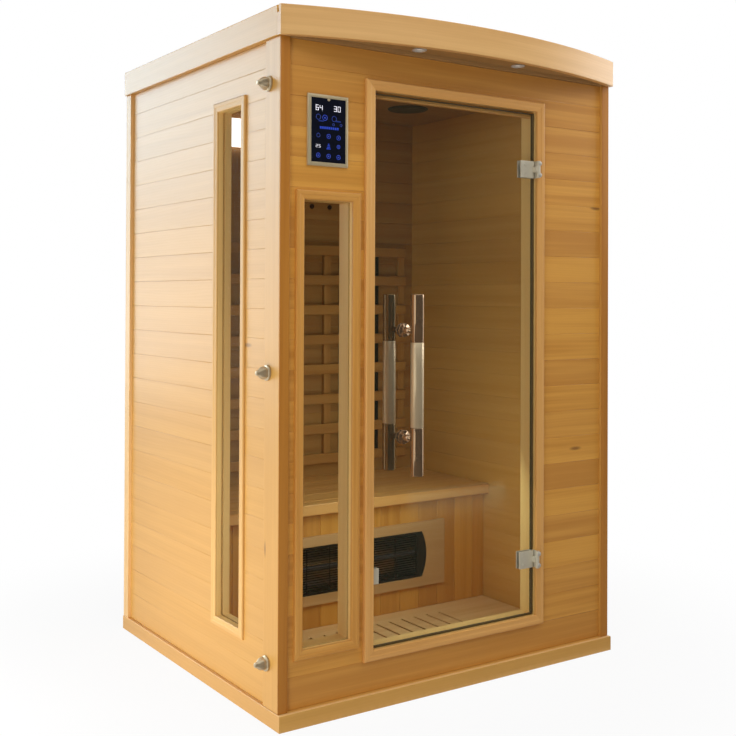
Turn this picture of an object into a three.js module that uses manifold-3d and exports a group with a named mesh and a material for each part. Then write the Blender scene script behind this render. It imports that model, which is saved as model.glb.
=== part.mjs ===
// Two-seat infrared sauna cabin. Millimetres, +Z up, front of the cabin towards -Y,
// origin at the bottom centre of the bounding box.
import * as THREE from "three";
import { mergeVertices } from "three/addons/utils/BufferGeometryUtils.js";
import Module from "manifold-3d";

const wasm = await Module();
wasm.setup();

// Cabin as a whole
const cabinWidth = 1220;
const cabinDepth = 1070;
const cabinHeight = 1900;
const seam = 0.3;

// Base
const plinthHeight = 44;
const plinthFrontProud = 12;
const plinthSideProud = 2;
const plinthLedge = 26;
const floorThickness = 20;
const slotCount = 13;
const slotPitch = 52;
const slotLength = 136;
const slotWidth = 9;
const slotFromFront = 374;
const footHeaterThickness = 12;

// Walls
const sideWallThickness = 30;
const rearWallThickness = 38;
const frontWallDepth = 74;
const boardRecess = 10;
const stileWidth = 82;
const firstBoard = 86;
const boardPitch = 81;
const grooveWidth = 4;
const grooveDepth = 2.4;

// Windows
const trimProud = 7;
const liningThickness = 9;
const paneThickness = 6;
const paneGroove = 5;
const sideWindowFromFront = 235;
const sideWindowWidth = 145;
const sideWindowSill = 165;
const sideWindowHead = 150;
const sideTrimWidth = 26;
const sidePaneDepth = 18;
const sideLiningProud = 22;
const frontWindowFromLeft = 76;
const frontWindowWidth = 155;
const frontWindowSill = 154;
const frontWindowHead = 426;
const frontTrimWidth = 25;

// Door
const doorFromLeft = 302;
const doorWidth = 606;
const doorSill = 115;
const doorHead = 112;
const doorTrimWidth = 30;
const doorTrimProud = 13;
const doorThickness = 8;
const doorSetBack = 11;
const doorHingeGap = 12;
const doorFreeGap = 5;
const doorTopGap = 9;
const doorBottomGap = 7;
const jamb = 14;
const stopWidth = 13;
const stopDepth = 20;

// Door hinges
const hingeHeight = 52;
const hingeFromTop = 170;
const hingeFromBottom = 166;
const hingeClampLength = 50;
const hingePlate = 5;
const hingeLeafWidth = 30;
const hingeLeafThickness = 3;
const hingeBarrelRadius = 6;
const hingePinRadius = 3;

// Door handles and catch
const handleFromFreeEdge = 103;
const handleDiameter = 38;
const handleLength = 506;
const handleCentreHeight = 846;
const handleReach = 63.5;
const standoffSpacing = 302;
const standoffDiameter = 17;
const rosetteDiameter = 40;
const rosetteThickness = 4;
const catchHeight = 44;
const catchLength = 18;
const catchFromBottom = 171;
const catchThickness = 2;

// Control panel
const controlFromLeft = 86;
const controlWidth = 129;
const controlHeight = 193;
const controlFromTop = 141;
const controlProud = 8;
const controlBorder = 10;
const controlDepth = 34;
const screenThickness = 2;

// Roof
const fasciaHeight = 80;
const fasciaThickness = 18;
const roofSideOverhang = 7;
const roofFrontOverhang = 12;
const bowRise = 107;
const ceilingThickness = 18;
const roofPanelThickness = 10;
const roofPanelDrop = 10;
const roofRebate = 8;
const downlightSpacing = 368;
const downlightInset = 74;
const soffitRecess = 10;
const downlightDiameter = 42;
const speakerFromRight = 290;
const speakerFromFront = 708;
const speakerDiameter = 145;

// Bench and its heater
const benchHeight = 413;
const benchDepth = 480;
const seatThickness = 36;
const seatFirstBoard = 58;
const seatBoardPitch = 105;
const seatLastBoard = 40;
const seatNosing = 32;
const benchPanelThickness = 18;
const seatCleat = 28;
const heaterSurroundWidth = 780;
const heaterSurroundHeight = 226;
const heaterSurroundFromFloor = 78;
const heaterSurroundThickness = 12;
const guardWidth = 580;
const guardHeight = 158;
const guardBulge = 20;
const guardRim = 8;
const guardThickness = 5;
const guardBars = 13;
const guardTies = 5;
const reflectorDepth = 66;
const reflectorWall = 2;
const elementDiameter = 16;

// Backrest
const latticeSideMargin = 50;
const latticeAboveSeat = 50;
const slatCount = 8;
const slatPitch = 112;
const slatHeight = 38;
const slatThickness = 12;
const uprightCount = 4;
const uprightWidth = 30;
const uprightDepth = 18;
const backHeaterWidth = 180;
const backHeaterThickness = 10;
const backHeaterShifts = [6, -22, -22];

// Small fittings
const knobFromFront = 63;
const knobInset = 118;
const knobLength = 36;
const knobBaseDiameter = 42;
const knobTipDiameter = 21;
const knobBoltDiameter = 8;
const lampWidth = 120;
const lampHeight = 100;
const lampDepth = 24;
const lampFromLeft = 388;
const lampFromTop = 96;
const powerBoxWidth = 240;
const powerBoxDepth = 160;
const powerBoxHeight = 34;
const grommetDiameter = 22;
const grommetFromRear = 90;
const powerBoxFromGrommet = 40;

// Levels and planes that follow from the sizes above
const left = -cabinWidth / 2;
const right = cabinWidth / 2;
const bowReach = roofFrontOverhang + bowRise;
const front = (bowReach - cabinDepth) / 2;
const rear = front + cabinDepth;
const wallBottom = plinthHeight + seam;
const roofBottom = cabinHeight - fasciaHeight;
const wallTop = roofBottom - seam;
const innerLeft = left + sideWallThickness;
const innerRight = right - sideWallThickness;
const innerFront = front + frontWallDepth;
const innerRear = rear - rearWallThickness;
const boardFront = front + boardRecess;
const seatTop = plinthHeight + benchHeight;
const seatBottom = seatTop - seatThickness;
const seatFront = innerRear - benchDepth;
const benchPanelFront = seatFront + seatNosing;
const heaterMiddle = plinthHeight + heaterSurroundFromFloor + heaterSurroundHeight / 2;

const hemlock = { color: 0xd8a465, roughness: 0.55, metalness: 0 };
const paleHemlock = { color: 0xe3b981, roughness: 0.55, metalness: 0 };
const trimWood = { color: 0xc98f50, roughness: 0.5, metalness: 0 };
const bronzeGlass = { color: 0x4a2c1b, roughness: 0.05, metalness: 0, transparent: true, opacity: 0.55 };
const satinSteel = { color: 0xb9b7b2, roughness: 0.32, metalness: 1 };
const darkBronze = { color: 0x6e6257, roughness: 0.35, metalness: 1 };
const silverPaint = { color: 0xb7aa94, roughness: 0.35, metalness: 0.6 };
const blackGloss = { color: 0x0c0c0e, roughness: 0.08, metalness: 0 };
const blackPaint = { color: 0x161310, roughness: 0.45, metalness: 0.2 };
const opalPlastic = { color: 0xf2efe8, roughness: 0.3, metalness: 0 };
const greyPlastic = { color: 0x4a4945, roughness: 0.5, metalness: 0 };
const brightMetal = { color: 0xcfd0d2, roughness: 0.2, metalness: 1 };

const cabin = new THREE.Group();
cabin.name = "infrared_sauna_cabin";

// Closed solid made from a geometry, turned right side out.
function solid(geometry) {
  const bare = geometry.clone();
  bare.deleteAttribute("normal");
  bare.deleteAttribute("uv");
  const welded = mergeVertices(bare, 1e-3);
  const corners = welded.index.array;
  const kept = [];
  for (let i = 0; i < corners.length; i += 3) {
    const [a, b, c] = corners.slice(i, i + 3);
    if (a !== b && b !== c && c !== a) kept.push(a, b, c);
  }
  const vertProperties = new Float32Array(welded.attributes.position.array);
  const wrap = (triVerts) => new wasm.Manifold(new wasm.Mesh({ numProp: 3, vertProperties, triVerts }));
  const body = wrap(new Uint32Array(kept));
  if (body.volume() > 0) return body;
  return wrap(new Uint32Array(kept).reverse());
}

// Rectangular block given by its range along each axis.
function block([x0, x1], [y0, y1], [z0, z1]) {
  const box = new THREE.BoxGeometry(x1 - x0, y1 - y0, z1 - z0);
  return solid(box.translate((x0 + x1) / 2, (y0 + y1) / 2, (z0 + z1) / 2));
}

// Outline carried along an axis. Its points are (y, z) along x, (z, x) along y and (x, y) along z.
const axisTurns = {
  x: new THREE.Matrix4().set(0, 0, 1, 0, 1, 0, 0, 0, 0, 1, 0, 0, 0, 0, 0, 1),
  y: new THREE.Matrix4().set(0, 1, 0, 0, 0, 0, 1, 0, 1, 0, 0, 0, 0, 0, 0, 1),
  z: new THREE.Matrix4(),
};
function prism(axis, points, [from, to]) {
  const shape = new THREE.Shape(points.map(([a, b]) => new THREE.Vector2(a, b)));
  const body = new THREE.ExtrudeGeometry(shape, { depth: to - from, bevelEnabled: false });
  return solid(body.translate(0, 0, from).applyMatrix4(axisTurns[axis]));
}

// Turned body about a line along an axis. Its profile is (radius, distance along the axis).
function turned(axis, profile, [cx, cy, cz], segments = 24) {
  const points = profile.map(([radius, along]) => new THREE.Vector2(radius, along));
  const body = new THREE.LatheGeometry(points, segments);
  if (axis === "x") body.rotateZ(-Math.PI / 2);
  if (axis === "z") body.rotateX(Math.PI / 2);
  return solid(body.translate(cx, cy, cz));
}

// Plain round bar between two places along an axis.
function rod(axis, radius, [from, to], centre, segments = 24) {
  return turned(axis, [[0, from], [radius, from], [radius, to], [0, to]], centre, segments);
}

// Frame mitred at its corners: each profile point (out, depth) is carried round an opening.
function mitredFrame(place, [a0, a1], [b0, b1], profile) {
  const positions = [];
  for (const [out, depth] of profile) {
    positions.push(...place(a0 - out, b0 - out, depth));
    positions.push(...place(a1 + out, b0 - out, depth));
    positions.push(...place(a1 + out, b1 + out, depth));
    positions.push(...place(a0 - out, b1 + out, depth));
  }
  const index = [];
  for (let i = 0; i < profile.length; i++) {
    const next = (i + 1) % profile.length;
    for (let c = 0; c < 4; c++) {
      const d = (c + 1) % 4;
      index.push(4 * i + c, 4 * i + d, 4 * next + d, 4 * i + c, 4 * next + d, 4 * next + c);
    }
  }
  const ring = new THREE.BufferGeometry();
  ring.setAttribute("position", new THREE.Float32BufferAttribute(positions, 3));
  ring.setIndex(index);
  return solid(ring);
}

const join = (...bodies) => wasm.Manifold.union(bodies);
const cut = (body, ...tools) => wasm.Manifold.difference([body, ...tools]);

function add(name, body, look) {
  const { vertProperties, triVerts } = body.getMesh();
  const geometry = new THREE.BufferGeometry();
  geometry.setAttribute("position", new THREE.Float32BufferAttribute(vertProperties, 3));
  geometry.setIndex(new THREE.Uint32BufferAttribute(triVerts, 1));
  geometry.computeVertexNormals();
  const mesh = new THREE.Mesh(geometry, new THREE.MeshStandardMaterial(look));
  mesh.name = name;
  cabin.add(mesh);
}

// Cross-section of a boarded panel as (thickness, height), with a groove at every board joint.
function boardedOutline(face, back, bottom, top) {
  const grooves = [];
  for (let z = plinthHeight + firstBoard; z < roofBottom; z += boardPitch) {
    if (z > bottom + 2 * grooveWidth && z < top - 2 * grooveWidth) grooves.push(z);
  }
  const half = grooveWidth / 2;
  const into = Math.sign(back - face) * grooveDepth;
  const up = grooves.flatMap((z) => [[face, z - half], [face + into, z], [face, z + half]]);
  grooves.reverse();
  const down = grooves.flatMap((z) => [[back, z + half], [back - into, z], [back, z - half]]);
  return [[face, bottom], ...up, [face, top], [back, top], ...down, [back, bottom]];
}

// Same section with its points swapped, for a panel carried along y.
const swapped = (points) => points.map(([a, b]) => [b, a]);

// Section of a window frame as (out, depth): bevelled outer trim, lining and a groove for the pane.
function windowProfile(trimWidth, face, boards, pane, back) {
  const way = Math.sign(back - face);
  const grooveFront = pane - way * (paneThickness / 2 + seam);
  const grooveBack = pane + way * (paneThickness / 2 + seam);
  return [
    [0, face + way * 2.5],
    [trimWidth * 0.45, face],
    [trimWidth - 3, face],
    [trimWidth, face + way * 3],
    [trimWidth, boards],
    [liningThickness, boards],
    [liningThickness, back],
    [0, back],
    [0, grooveBack],
    [paneGroove, grooveBack],
    [paneGroove, grooveFront],
    [0, grooveFront],
  ];
}

// Base: plinth ring with a ledge that carries the slotted floor, and the foot heater under it.
function buildBase() {
  const ledgeLeft = innerLeft - seam + 4;
  const ledgeFront = innerFront + 4;
  const ledgeRear = innerRear - 4;
  const outer = block(
    [left - plinthSideProud, right + plinthSideProud],
    [front - plinthFrontProud, rear],
    [0, plinthHeight],
  );
  const seat = block(
    [ledgeLeft, -ledgeLeft],
    [ledgeFront, ledgeRear],
    [plinthHeight - floorThickness - seam, plinthHeight + 1],
  );
  const well = block(
    [ledgeLeft + plinthLedge, -ledgeLeft - plinthLedge],
    [ledgeFront + plinthLedge, ledgeRear - plinthLedge],
    [-1, plinthHeight],
  );
  add("plinth_frame", cut(outer, seat, well), hemlock);

  const floor = block(
    [ledgeLeft + seam, -ledgeLeft - seam],
    [ledgeFront + seam, ledgeRear - seam],
    [plinthHeight - floorThickness, plinthHeight],
  );
  const slotFront = front + slotFromFront;
  const slots = [];
  for (let i = 0; i < slotCount; i++) {
    const x = (i - (slotCount - 1) / 2) * slotPitch;
    slots.push(block(
      [x - slotWidth / 2, x + slotWidth / 2],
      [slotFront, slotFront + slotLength],
      [0, plinthHeight + 1],
    ));
  }
  add("floor_boards", cut(floor, ...slots), paleHemlock);

  const heaterTop = plinthHeight - floorThickness - seam;
  const reach = (slotCount * slotPitch) / 2;
  add("floor_heater", block(
    [-reach, reach],
    [slotFront - slotPitch / 2, slotFront + slotLength + slotPitch / 2],
    [heaterTop - footHeaterThickness, heaterTop],
  ), blackPaint);
}

// Side walls: recessed boards between the front stile and the rear wall. Side is -1 left, +1 right.
const knobHeights = [
  wallBottom + knobInset,
  (wallBottom + wallTop) / 2,
  wallTop - knobInset,
];
const sideWindow = {
  y: [front + sideWindowFromFront, front + sideWindowFromFront + sideWindowWidth],
  z: [plinthHeight + sideWindowSill, roofBottom - sideWindowHead],
};

function sideBoards(side) {
  const face = side * (cabinWidth / 2 - boardRecess);
  const back = side * (cabinWidth / 2 - sideWallThickness);
  const outline = boardedOutline(face, back, wallBottom, wallTop);
  return prism("y", swapped(outline), [front + stileWidth + seam, innerRear - seam]);
}

function sideStile(side) {
  const xs = [side * cabinWidth / 2, side * (cabinWidth / 2 - sideWallThickness)].sort((a, b) => a - b);
  const post = block(xs, [front, front + stileWidth], [wallBottom, wallTop]);
  const bores = knobHeights.map((z) => rod(
    "x", knobBoltDiameter / 2 + 0.5, [xs[0] - 1, xs[1] + 1], [0, front + knobFromFront, z],
  ));
  return cut(post, ...bores);
}

function clampKnob(side, z) {
  const base = knobBaseDiameter / 2;
  const tip = knobTipDiameter / 2;
  const bolt = knobBoltDiameter / 2;
  const profile = [
    [0, -sideWallThickness - 22],
    [bolt, -sideWallThickness - 22],
    [bolt, seam],
    [base, seam],
    [base, knobLength * 0.12],
    [base * 0.9, knobLength * 0.2],
    [base * 0.82, knobLength * 0.4],
    [base * 0.66, knobLength * 0.58],
    [tip * 0.95, knobLength * 0.74],
    [tip * 0.78, knobLength * 0.92],
    [tip * 0.5, knobLength],
    [0, knobLength],
  ];
  const knob = turned("x", profile, [0, 0, 0], 16);
  const facing = side < 0 ? knob.mirror([1, 0, 0]) : knob;
  return facing.translate([side * cabinWidth / 2, front + knobFromFront, z]);
}

function buildSideWalls() {
  const hole = block(
    [left - 1, innerLeft + 1],
    [sideWindow.y[0] - liningThickness - seam, sideWindow.y[1] + liningThickness + seam],
    [sideWindow.z[0] - liningThickness - seam, sideWindow.z[1] + liningThickness + seam],
  );
  add("left_wall_boards", cut(sideBoards(-1), hole), hemlock);
  add("left_wall_stile", sideStile(-1), hemlock);
  add("right_wall_boards", sideBoards(1), hemlock);
  add("right_wall_stile", sideStile(1), hemlock);

  const boards = left + boardRecess;
  const pane = boards + sidePaneDepth;
  const lining = innerLeft + sideLiningProud;
  const profile = windowProfile(sideTrimWidth, boards - trimProud, boards - seam, pane, lining);
  const place = (a, b, depth) => [depth, a, b];
  add("left_window_frame", mitredFrame(place, sideWindow.y, sideWindow.z, profile), trimWood);
  const bite = paneGroove - seam;
  add("left_window_glass", block(
    [pane - paneThickness / 2, pane + paneThickness / 2],
    [sideWindow.y[0] - bite, sideWindow.y[1] + bite],
    [sideWindow.z[0] - bite, sideWindow.z[1] + bite],
  ), bronzeGlass);

  const levels = ["lower", "middle", "upper"];
  knobHeights.forEach((z, i) => {
    add(`left_${levels[i]}_clamp_knob`, clampKnob(-1, z), darkBronze);
    add(`right_${levels[i]}_clamp_knob`, clampKnob(1, z), darkBronze);
  });
}

// Rear wall across the full width, with the cleat that carries the back of the seat.
function buildRearWall() {
  const panel = prism("x", boardedOutline(rear, innerRear, wallBottom, wallTop), [left, right]);
  const cleat = block(
    [innerLeft + seam, innerRight - seam],
    [innerRear - seatCleat, innerRear + grooveDepth + 1],
    [seatBottom - seatCleat - 10, seatBottom - seam],
  );
  add("rear_wall", join(panel, cleat), hemlock);
}

// Front wall: two boarded panels, header and sill round the door opening, and the fixed window.
const doorX = [left + doorFromLeft, left + doorFromLeft + doorWidth];
const doorZ = [plinthHeight + doorSill, roofBottom - doorHead];
const frontWindow = {
  x: [left + frontWindowFromLeft, left + frontWindowFromLeft + frontWindowWidth],
  z: [plinthHeight + frontWindowSill, roofBottom - frontWindowHead],
};
const controlX = [left + controlFromLeft, left + controlFromLeft + controlWidth];
const controlZ = [roofBottom - controlFromTop - controlHeight, roofBottom - controlFromTop];

function frontBoards(xs, bottom, top) {
  return prism("x", boardedOutline(boardFront, innerFront, bottom, top), xs);
}

function buildFrontWall() {
  const openLeft = doorX[0] - jamb - seam;
  const openRight = doorX[1] + jamb + seam;
  const windowHole = block(
    [frontWindow.x[0] - liningThickness - seam, frontWindow.x[1] + liningThickness + seam],
    [front - 1, innerFront + 1],
    [frontWindow.z[0] - liningThickness - seam, frontWindow.z[1] + liningThickness + seam],
  );
  const controlHole = block(
    [controlX[0] + controlBorder - 1, controlX[1] - controlBorder + 1],
    [front - 1, boardFront + controlDepth + 1],
    [controlZ[0] + controlBorder - 1, controlZ[1] - controlBorder + 1],
  );
  const boltHoles = (edge) => knobHeights.map((z) => rod(
    "x", knobBoltDiameter / 2 + 0.5, [edge - 25, edge + 25], [0, front + knobFromFront, z],
  ));
  const leftPanel = frontBoards([innerLeft + seam, openLeft], wallBottom, wallTop);
  add("front_left_panel", cut(leftPanel, windowHole, controlHole, ...boltHoles(innerLeft)), hemlock);
  const rightPanel = frontBoards([openRight, innerRight - seam], wallBottom, wallTop);
  add("front_right_panel", cut(rightPanel, ...boltHoles(innerRight)), hemlock);
  const between = [openLeft + seam, openRight - seam];
  add("front_header", frontBoards(between, doorZ[1] + jamb + seam, wallTop), hemlock);
  add("front_sill", frontBoards(between, wallBottom, doorZ[0] - jamb - seam), hemlock);

  const pane = boardFront + paneThickness + 8;
  const face = boardFront - trimProud - 4;
  const profile = windowProfile(frontTrimWidth, face, boardFront - seam, pane, innerFront);
  const place = (a, b, depth) => [a, depth, b];
  add("front_window_frame", mitredFrame(place, frontWindow.x, frontWindow.z, profile), trimWood);
  const bite = paneGroove - seam;
  add("front_window_glass", block(
    [frontWindow.x[0] - bite, frontWindow.x[1] + bite],
    [pane - paneThickness / 2, pane + paneThickness / 2],
    [frontWindow.z[0] - bite, frontWindow.z[1] + bite],
  ), bronzeGlass);
}

// Door frame: lining with mitred outer trim, and stops at the free edge and the head.
const glassX = [doorX[0] + doorFreeGap, doorX[1] - doorHingeGap];
const glassY = [front + doorSetBack, front + doorSetBack + doorThickness];
const glassZ = [doorZ[0] + doorBottomGap, doorZ[1] - doorTopGap];
const catchZ = [glassZ[0] + catchFromBottom, glassZ[0] + catchFromBottom + catchHeight];
const trimFace = boardFront - doorTrimProud;
const stopFront = glassY[1] + 2;

function buildDoorFrame() {
  const profile = [
    [0, trimFace + 2],
    [doorTrimWidth * 0.4, trimFace],
    [doorTrimWidth - 3, trimFace],
    [doorTrimWidth, trimFace + 3],
    [doorTrimWidth, boardFront - seam],
    [jamb, boardFront - seam],
    [jamb, innerFront],
    [0, innerFront],
  ];
  const ring = mitredFrame((a, b, depth) => [a, depth, b], doorX, doorZ, profile);
  const freeStop = block(
    [doorX[0] - 2, doorX[0] + stopWidth],
    [stopFront, stopFront + stopDepth],
    [doorZ[0] - 2, doorZ[1] + 2],
  );
  const headStop = block(
    [doorX[0] - 2, doorX[1] + 2],
    [stopFront, stopFront + stopDepth],
    [doorZ[1] - stopWidth - 3, doorZ[1] + 2],
  );
  const notch = block(
    [doorX[0], doorX[0] + stopWidth + 1],
    [stopFront - 1, stopFront + stopDepth + 1],
    [catchZ[0] - 4, catchZ[1] + 4],
  );
  add("door_frame", join(ring, cut(freeStop, notch), headStop), trimWood);
  const magnetFront = glassY[1] + catchThickness + 2 * seam + 0.5;
  add("magnet_catch", block(
    [doorX[0] + seam, doorX[0] + stopWidth + 8],
    [magnetFront, magnetFront + 14],
    catchZ,
  ), greyPlastic);
}

// Door leaf with its clamps, pins, handles and catch plate, drawn closed.
const hingeZ = [
  glassZ[0] + hingeFromBottom,
  glassZ[1] - hingeFromTop,
];
const pivotX = doorX[1] - 4;
const pivotY = trimFace - seam - hingeBarrelRadius;
const handleX = glassX[0] + handleFromFreeEdge;
const handleMiddle = plinthHeight + handleCentreHeight;
const standoffZ = [handleMiddle - standoffSpacing / 2, handleMiddle + standoffSpacing / 2];
const glassMiddle = (glassY[0] + glassY[1]) / 2;
const barOffset = doorThickness / 2 + handleReach - handleDiameter / 2;

function buildHinge(name, z) {
  const half = hingeHeight / 2;
  const third = hingeHeight / 6;
  const barrel = (from, to) => rod("z", hingeBarrelRadius, [z - to, z - from], [pivotX, pivotY, 0]);
  const bore = rod("z", hingePinRadius + seam, [z - half - 1, z + half + 1], [pivotX, pivotY, 0]);

  const leafX = [doorX[1] - seam - hingeLeafThickness, doorX[1] - seam];
  const leafFront = pivotY + hingeBarrelRadius + 1.5;
  const plate = block(leafX, [leafFront, leafFront + hingeLeafWidth], [z - half, z + half]);
  const arm = (from, to) => block(leafX, [pivotY, leafFront + 1], [z + from, z + to]);
  const leaf = join(
    plate,
    barrel(third + seam, half), arm(third + seam, half),
    barrel(-half, -third - seam), arm(-half, -third - seam),
  );
  add(`${name}_hinge_leaf`, cut(leaf, bore), satinSteel);

  const clampFront = glassY[0] - seam - hingePlate;
  const clampBack = glassY[1] + seam + hingePlate;
  const clampEdge = glassX[1] + seam + 4;
  const cheeks = block(
    [glassX[1] - hingeClampLength, clampEdge],
    [clampFront, clampBack],
    [z - half, z + half],
  );
  const throat = block(
    [glassX[1] - hingeClampLength - 1, glassX[1] + seam],
    [glassY[0] - seam, glassY[1] + seam],
    [z - half - 1, z + half + 1],
  );
  const web = block([pivotX - 9, pivotX - 1], [pivotY, clampFront + 1], [z - third, z + third]);
  const clamp = join(cut(cheeks, throat), web, barrel(-third, third));
  add(`${name}_hinge_clamp`, cut(clamp, bore), satinSteel);
  add(`${name}_hinge_pin`, rod("z", hingePinRadius, [z - half, z + half], [pivotX, pivotY, 0], 16), brightMetal);
}

function handleBar(side) {
  const radius = handleDiameter / 2;
  const half = handleLength / 2;
  const profile = [
    [0, -half],
    [radius - 2, -half],
    [radius, 2 - half],
    [radius, half - 2],
    [radius - 2, half],
    [0, half],
  ];
  const bar = turned("z", profile, [handleX, glassMiddle + side * (barOffset + radius), handleMiddle]);
  const sockets = standoffZ.map((z) => rod(
    "y", standoffDiameter / 2 + seam, [-barOffset - 6 - seam, barOffset + 6 + seam], [handleX, glassMiddle, z],
  ));
  return cut(bar, ...sockets);
}

function buildDoor() {
  const hole = (z) => rod(
    "y", standoffDiameter / 2 + seam, [-doorThickness, doorThickness], [handleX, glassMiddle, z],
  );
  const leaf = block(glassX, glassY, glassZ);
  add("door_glass", cut(leaf, ...standoffZ.map(hole)), bronzeGlass);
  buildHinge("lower", hingeZ[0]);
  buildHinge("upper", hingeZ[1]);
  add("outer_handle_bar", handleBar(-1), satinSteel);
  add("inner_handle_bar", handleBar(1), satinSteel);
  const seat = doorThickness / 2 + seam;
  const post = standoffDiameter / 2;
  const rose = rosetteDiameter / 2;
  const reach = barOffset + 6;
  const profile = [
    [0, -reach],
    [post, -reach],
    [post, -seat - rosetteThickness],
    [rose, -seat - rosetteThickness],
    [rose, -seat],
    [post, -seat],
    [post, seat],
    [rose, seat],
    [rose, seat + rosetteThickness],
    [post, seat + rosetteThickness],
    [post, reach],
    [0, reach],
  ];
  add("lower_handle_standoff", turned("y", profile, [handleX, glassMiddle, standoffZ[0]]), satinSteel);
  add("upper_handle_standoff", turned("y", profile, [handleX, glassMiddle, standoffZ[1]]), satinSteel);

  const clip = block(
    [glassX[0] - seam - catchThickness, glassX[0] + catchLength],
    [glassY[0] - seam - catchThickness, glassY[1] + seam + catchThickness],
    catchZ,
  );
  const throat = block(
    [glassX[0] - seam, glassX[0] + catchLength + 1],
    [glassY[0] - seam, glassY[1] + seam],
    [catchZ[0] - 1, catchZ[1] + 1],
  );
  add("door_catch_plate", cut(clip, throat), satinSteel);
}

// Control panel: bezel and rear housing in one moulding, with the touch screen let into its face.
function buildControl() {
  const face = boardFront - controlProud;
  const bezel = block(controlX, [face, boardFront - seam], controlZ);
  const inner = (grow) => [
    [controlX[0] + controlBorder - grow, controlX[1] - controlBorder + grow],
    [controlZ[0] + controlBorder - grow, controlZ[1] - controlBorder + grow],
  ];
  const [boxX, boxZ] = inner(0);
  const box = block(boxX, [boardFront - 1, boardFront + controlDepth], boxZ);
  const [recessX, recessZ] = inner(seam);
  const recess = block(recessX, [face - 1, face + screenThickness + seam], recessZ);
  add("control_housing", cut(join(bezel, box), recess), silverPaint);
  add("control_screen", block(boxX, [face, face + screenThickness], boxZ), blackGloss);
}

// Roof cap: bowed front fascia, straight fascias, ceiling with soffit, and the top panel in a rebate.
const roofHalf = cabinWidth / 2 + roofSideOverhang;
const bowRadius = (roofHalf ** 2 + bowRise ** 2) / (2 * bowRise);
const bowCentre = front - bowReach + bowRadius;
const bowY = (x, inset) => bowCentre - Math.sqrt((bowRadius - inset) ** 2 - x ** 2);
function bowLine(half, inset) {
  const steps = 28;
  const points = [];
  for (let i = 0; i <= steps; i++) {
    const x = half * (2 * i / steps - 1);
    points.push([x, bowY(x, inset)]);
  }
  return points;
}

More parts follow.
